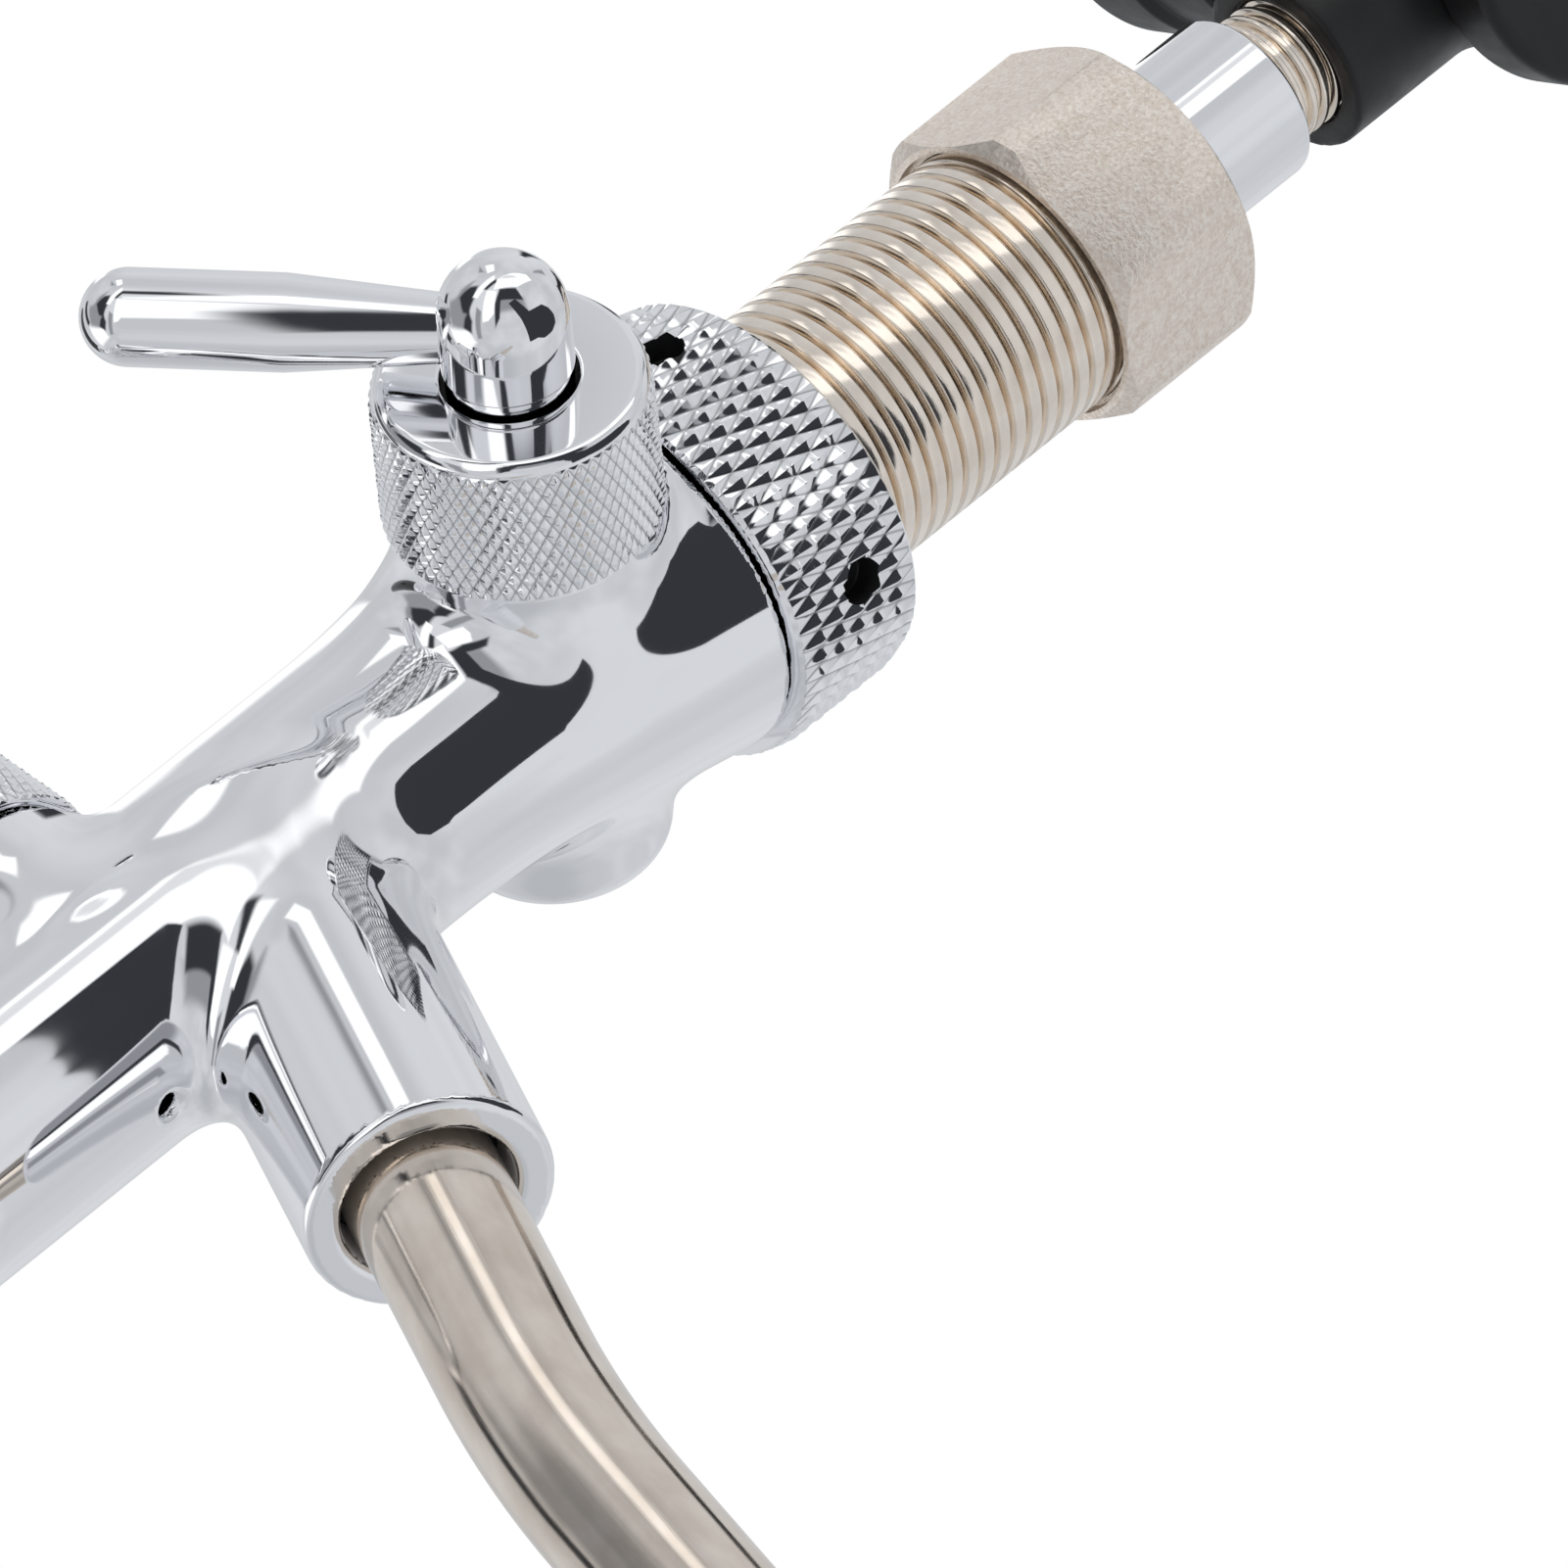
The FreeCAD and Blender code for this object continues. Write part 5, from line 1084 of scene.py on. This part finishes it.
# %% Thread tree
thread, given, result = group_tree("wound_thread", [
    ("Turns", "Float"), ("Root Radius", "Float"), ("Depth", "Float"), ("Crest Width", "Float"),
    ("Root Width", "Float"), ("Start", "Float"), ("Length", "Float"), ("Corner", "Float"),
    ("Resolution", "Int"), ("Material", "Material")])
g = given.outputs
SUNK = 0.0003
middle_radius = maths(thread, "ADD", g["Root Radius"], maths(thread, "MULTIPLY", g["Depth"], 0.5))
path_radius = maths(thread, "SUBTRACT", middle_radius, SUNK / 2)
spiral = add_node(thread, "GeometryNodeCurveSpiral", {"Resolution": g["Resolution"], "Rotations": g["Turns"],
                                                      "Start Radius": path_radius, "End Radius": path_radius,
                                                      "Height": g["Length"]})
upright = add_node(thread, "GeometryNodeSetCurveNormal", {"Curve": spiral.outputs[0]})
upright.mode = "Z_UP"
ridge = add_node(thread, "GeometryNodeCurvePrimitiveQuadrilateral", mode="TRAPEZOID")
for label, value in (("Height", maths(thread, "ADD", g["Depth"], SUNK)), ("Bottom Width", g["Root Width"]),
                     ("Top Width", g["Crest Width"])):
    thread.links.new(value, ridge.inputs[label])
ridge.inputs["Offset"].default_value = 0.0
eased = add_node(thread, "GeometryNodeFilletCurve", {"Curve": ridge.outputs[0], "Count": 3,
                                                     "Radius": g["Corner"]}, mode="POLY")
outwards = add_node(thread, "GeometryNodeTransform", {"Geometry": eased.outputs[0],
                                                      "Rotation": (0, 0, math.pi / 2)})
wound = add_node(thread, "GeometryNodeCurveToMesh", {"Curve": upright.outputs[0],
                                                     "Profile Curve": outwards.outputs[0], "Fill Caps": True})
lift = add_node(thread, "ShaderNodeCombineXYZ", {"Z": g["Start"]})
lifted = add_node(thread, "GeometryNodeTransform", {"Geometry": wound.outputs[0],
                                                    "Translation": lift.outputs[0]})
joined = add_node(thread, "GeometryNodeJoinGeometry")
thread.links.new(lifted.outputs[0], joined.inputs[0])
thread.links.new(g["Geometry"], joined.inputs[0])
all_real = add_node(thread, "GeometryNodeRealizeInstances", {0: joined.outputs[0]})
painted = add_node(thread, "GeometryNodeSetMaterial", {"Geometry": all_real.outputs[0],
                                                       "Material": g["Material"]})
thread.links.new(painted.outputs[0], result.inputs[0])
print("thread tree:", len(thread.nodes), "nodes")


# %% Shank and nipple
THREAD_SEGMENTS = 96


def threaded(node_name, core, crest, depth, pitch, span, widths):
    """Threaded nickel part on the shank's axis: a turned core with a ridge wound round it."""
    points, _, faces = turned_mesh(*rounded(core, 0.2), even_angles(THREAD_SEGMENTS))
    base = new_piece(node_name + "_core", points, faces)
    start, end = span
    piece = run_tree("threaded_" + node_name, base, thread, {
        "Turns": (end - start) / pitch, "Root Radius": (crest - depth) * MM, "Depth": depth * MM,
        "Crest Width": widths[0] * MM, "Root Width": widths[1] * MM, "Start": start * MM,
        "Length": (end - start) * MM, "Corner": 0.1 * MM, "Resolution": THREAD_SEGMENTS,
        "Material": NICKEL_THREAD})
    set_in_place(piece, ORIGIN, Y_AXIS, 32)
    dress(piece, NICKEL_THREAD, node_name)


threaded("shank", [(7.5, -5.5), (13.2, -5.5), (13.2, -3), (10.62, -3), (10.62, 36.5), (5, 36.5), (5, 5.5)],
         11.45, 0.7, 1.814, (-1.6, 35.2), (1.1, 1.74))
threaded("flare_nipple", [(2.2, 50.1), (5.05, 50.1), (5.05, 69.8), (2.2, 69.8)],
         5.55, 0.55, 1.3, (50.9, 69.0), (0.45, 1.1))

# %% [markdown]
# ## The union nut
# The nut's flats and turned corners are already right in the CAD model, but its edges are sharp. A copy of it
# is welded, and a bevel eases every edge a little, as blasting does. That is less work than modelling a nut
# anew, and the sizes stay those of the CAD model.


# %% Eased copy of the nut
def eased_copy(node_name, material, ease):
    """Copy of a CAD piece with its edges bevelled."""
    source = frame["nodes"][node_name]
    copy = bpy.data.objects.new("eased_" + node_name, source.data.copy())
    bpy.context.scene.collection.objects.link(copy)
    work = bmesh.new()
    work.from_mesh(copy.data)
    bmesh.ops.remove_doubles(work, verts=work.verts, dist=1e-6)
    bmesh.ops.dissolve_limit(work, angle_limit=math.radians(1.0), verts=work.verts, edges=work.edges)
    work.to_mesh(copy.data)
    work.free()
    modifier = copy.modifiers.new("ease", "BEVEL")
    modifier.width = ease * MM
    modifier.segments = 3
    modifier.limit_method = "ANGLE"
    modifier.angle_limit = math.radians(28)
    modifier.harden_normals = True
    copy.data.polygons.foreach_set("use_smooth", [True] * len(copy.data.polygons))
    bpy.context.view_layer.update()
    mesh = bpy.data.meshes.new_from_object(copy.evaluated_get(bpy.context.evaluated_depsgraph_get()))
    copy.modifiers.clear()
    copy.data = mesh
    return dress(copy, material, node_name)


nut = eased_copy("union_nut", NICKEL_BLASTED, 0.3)
print("nut:", len(nut.data.polygons), "faces")
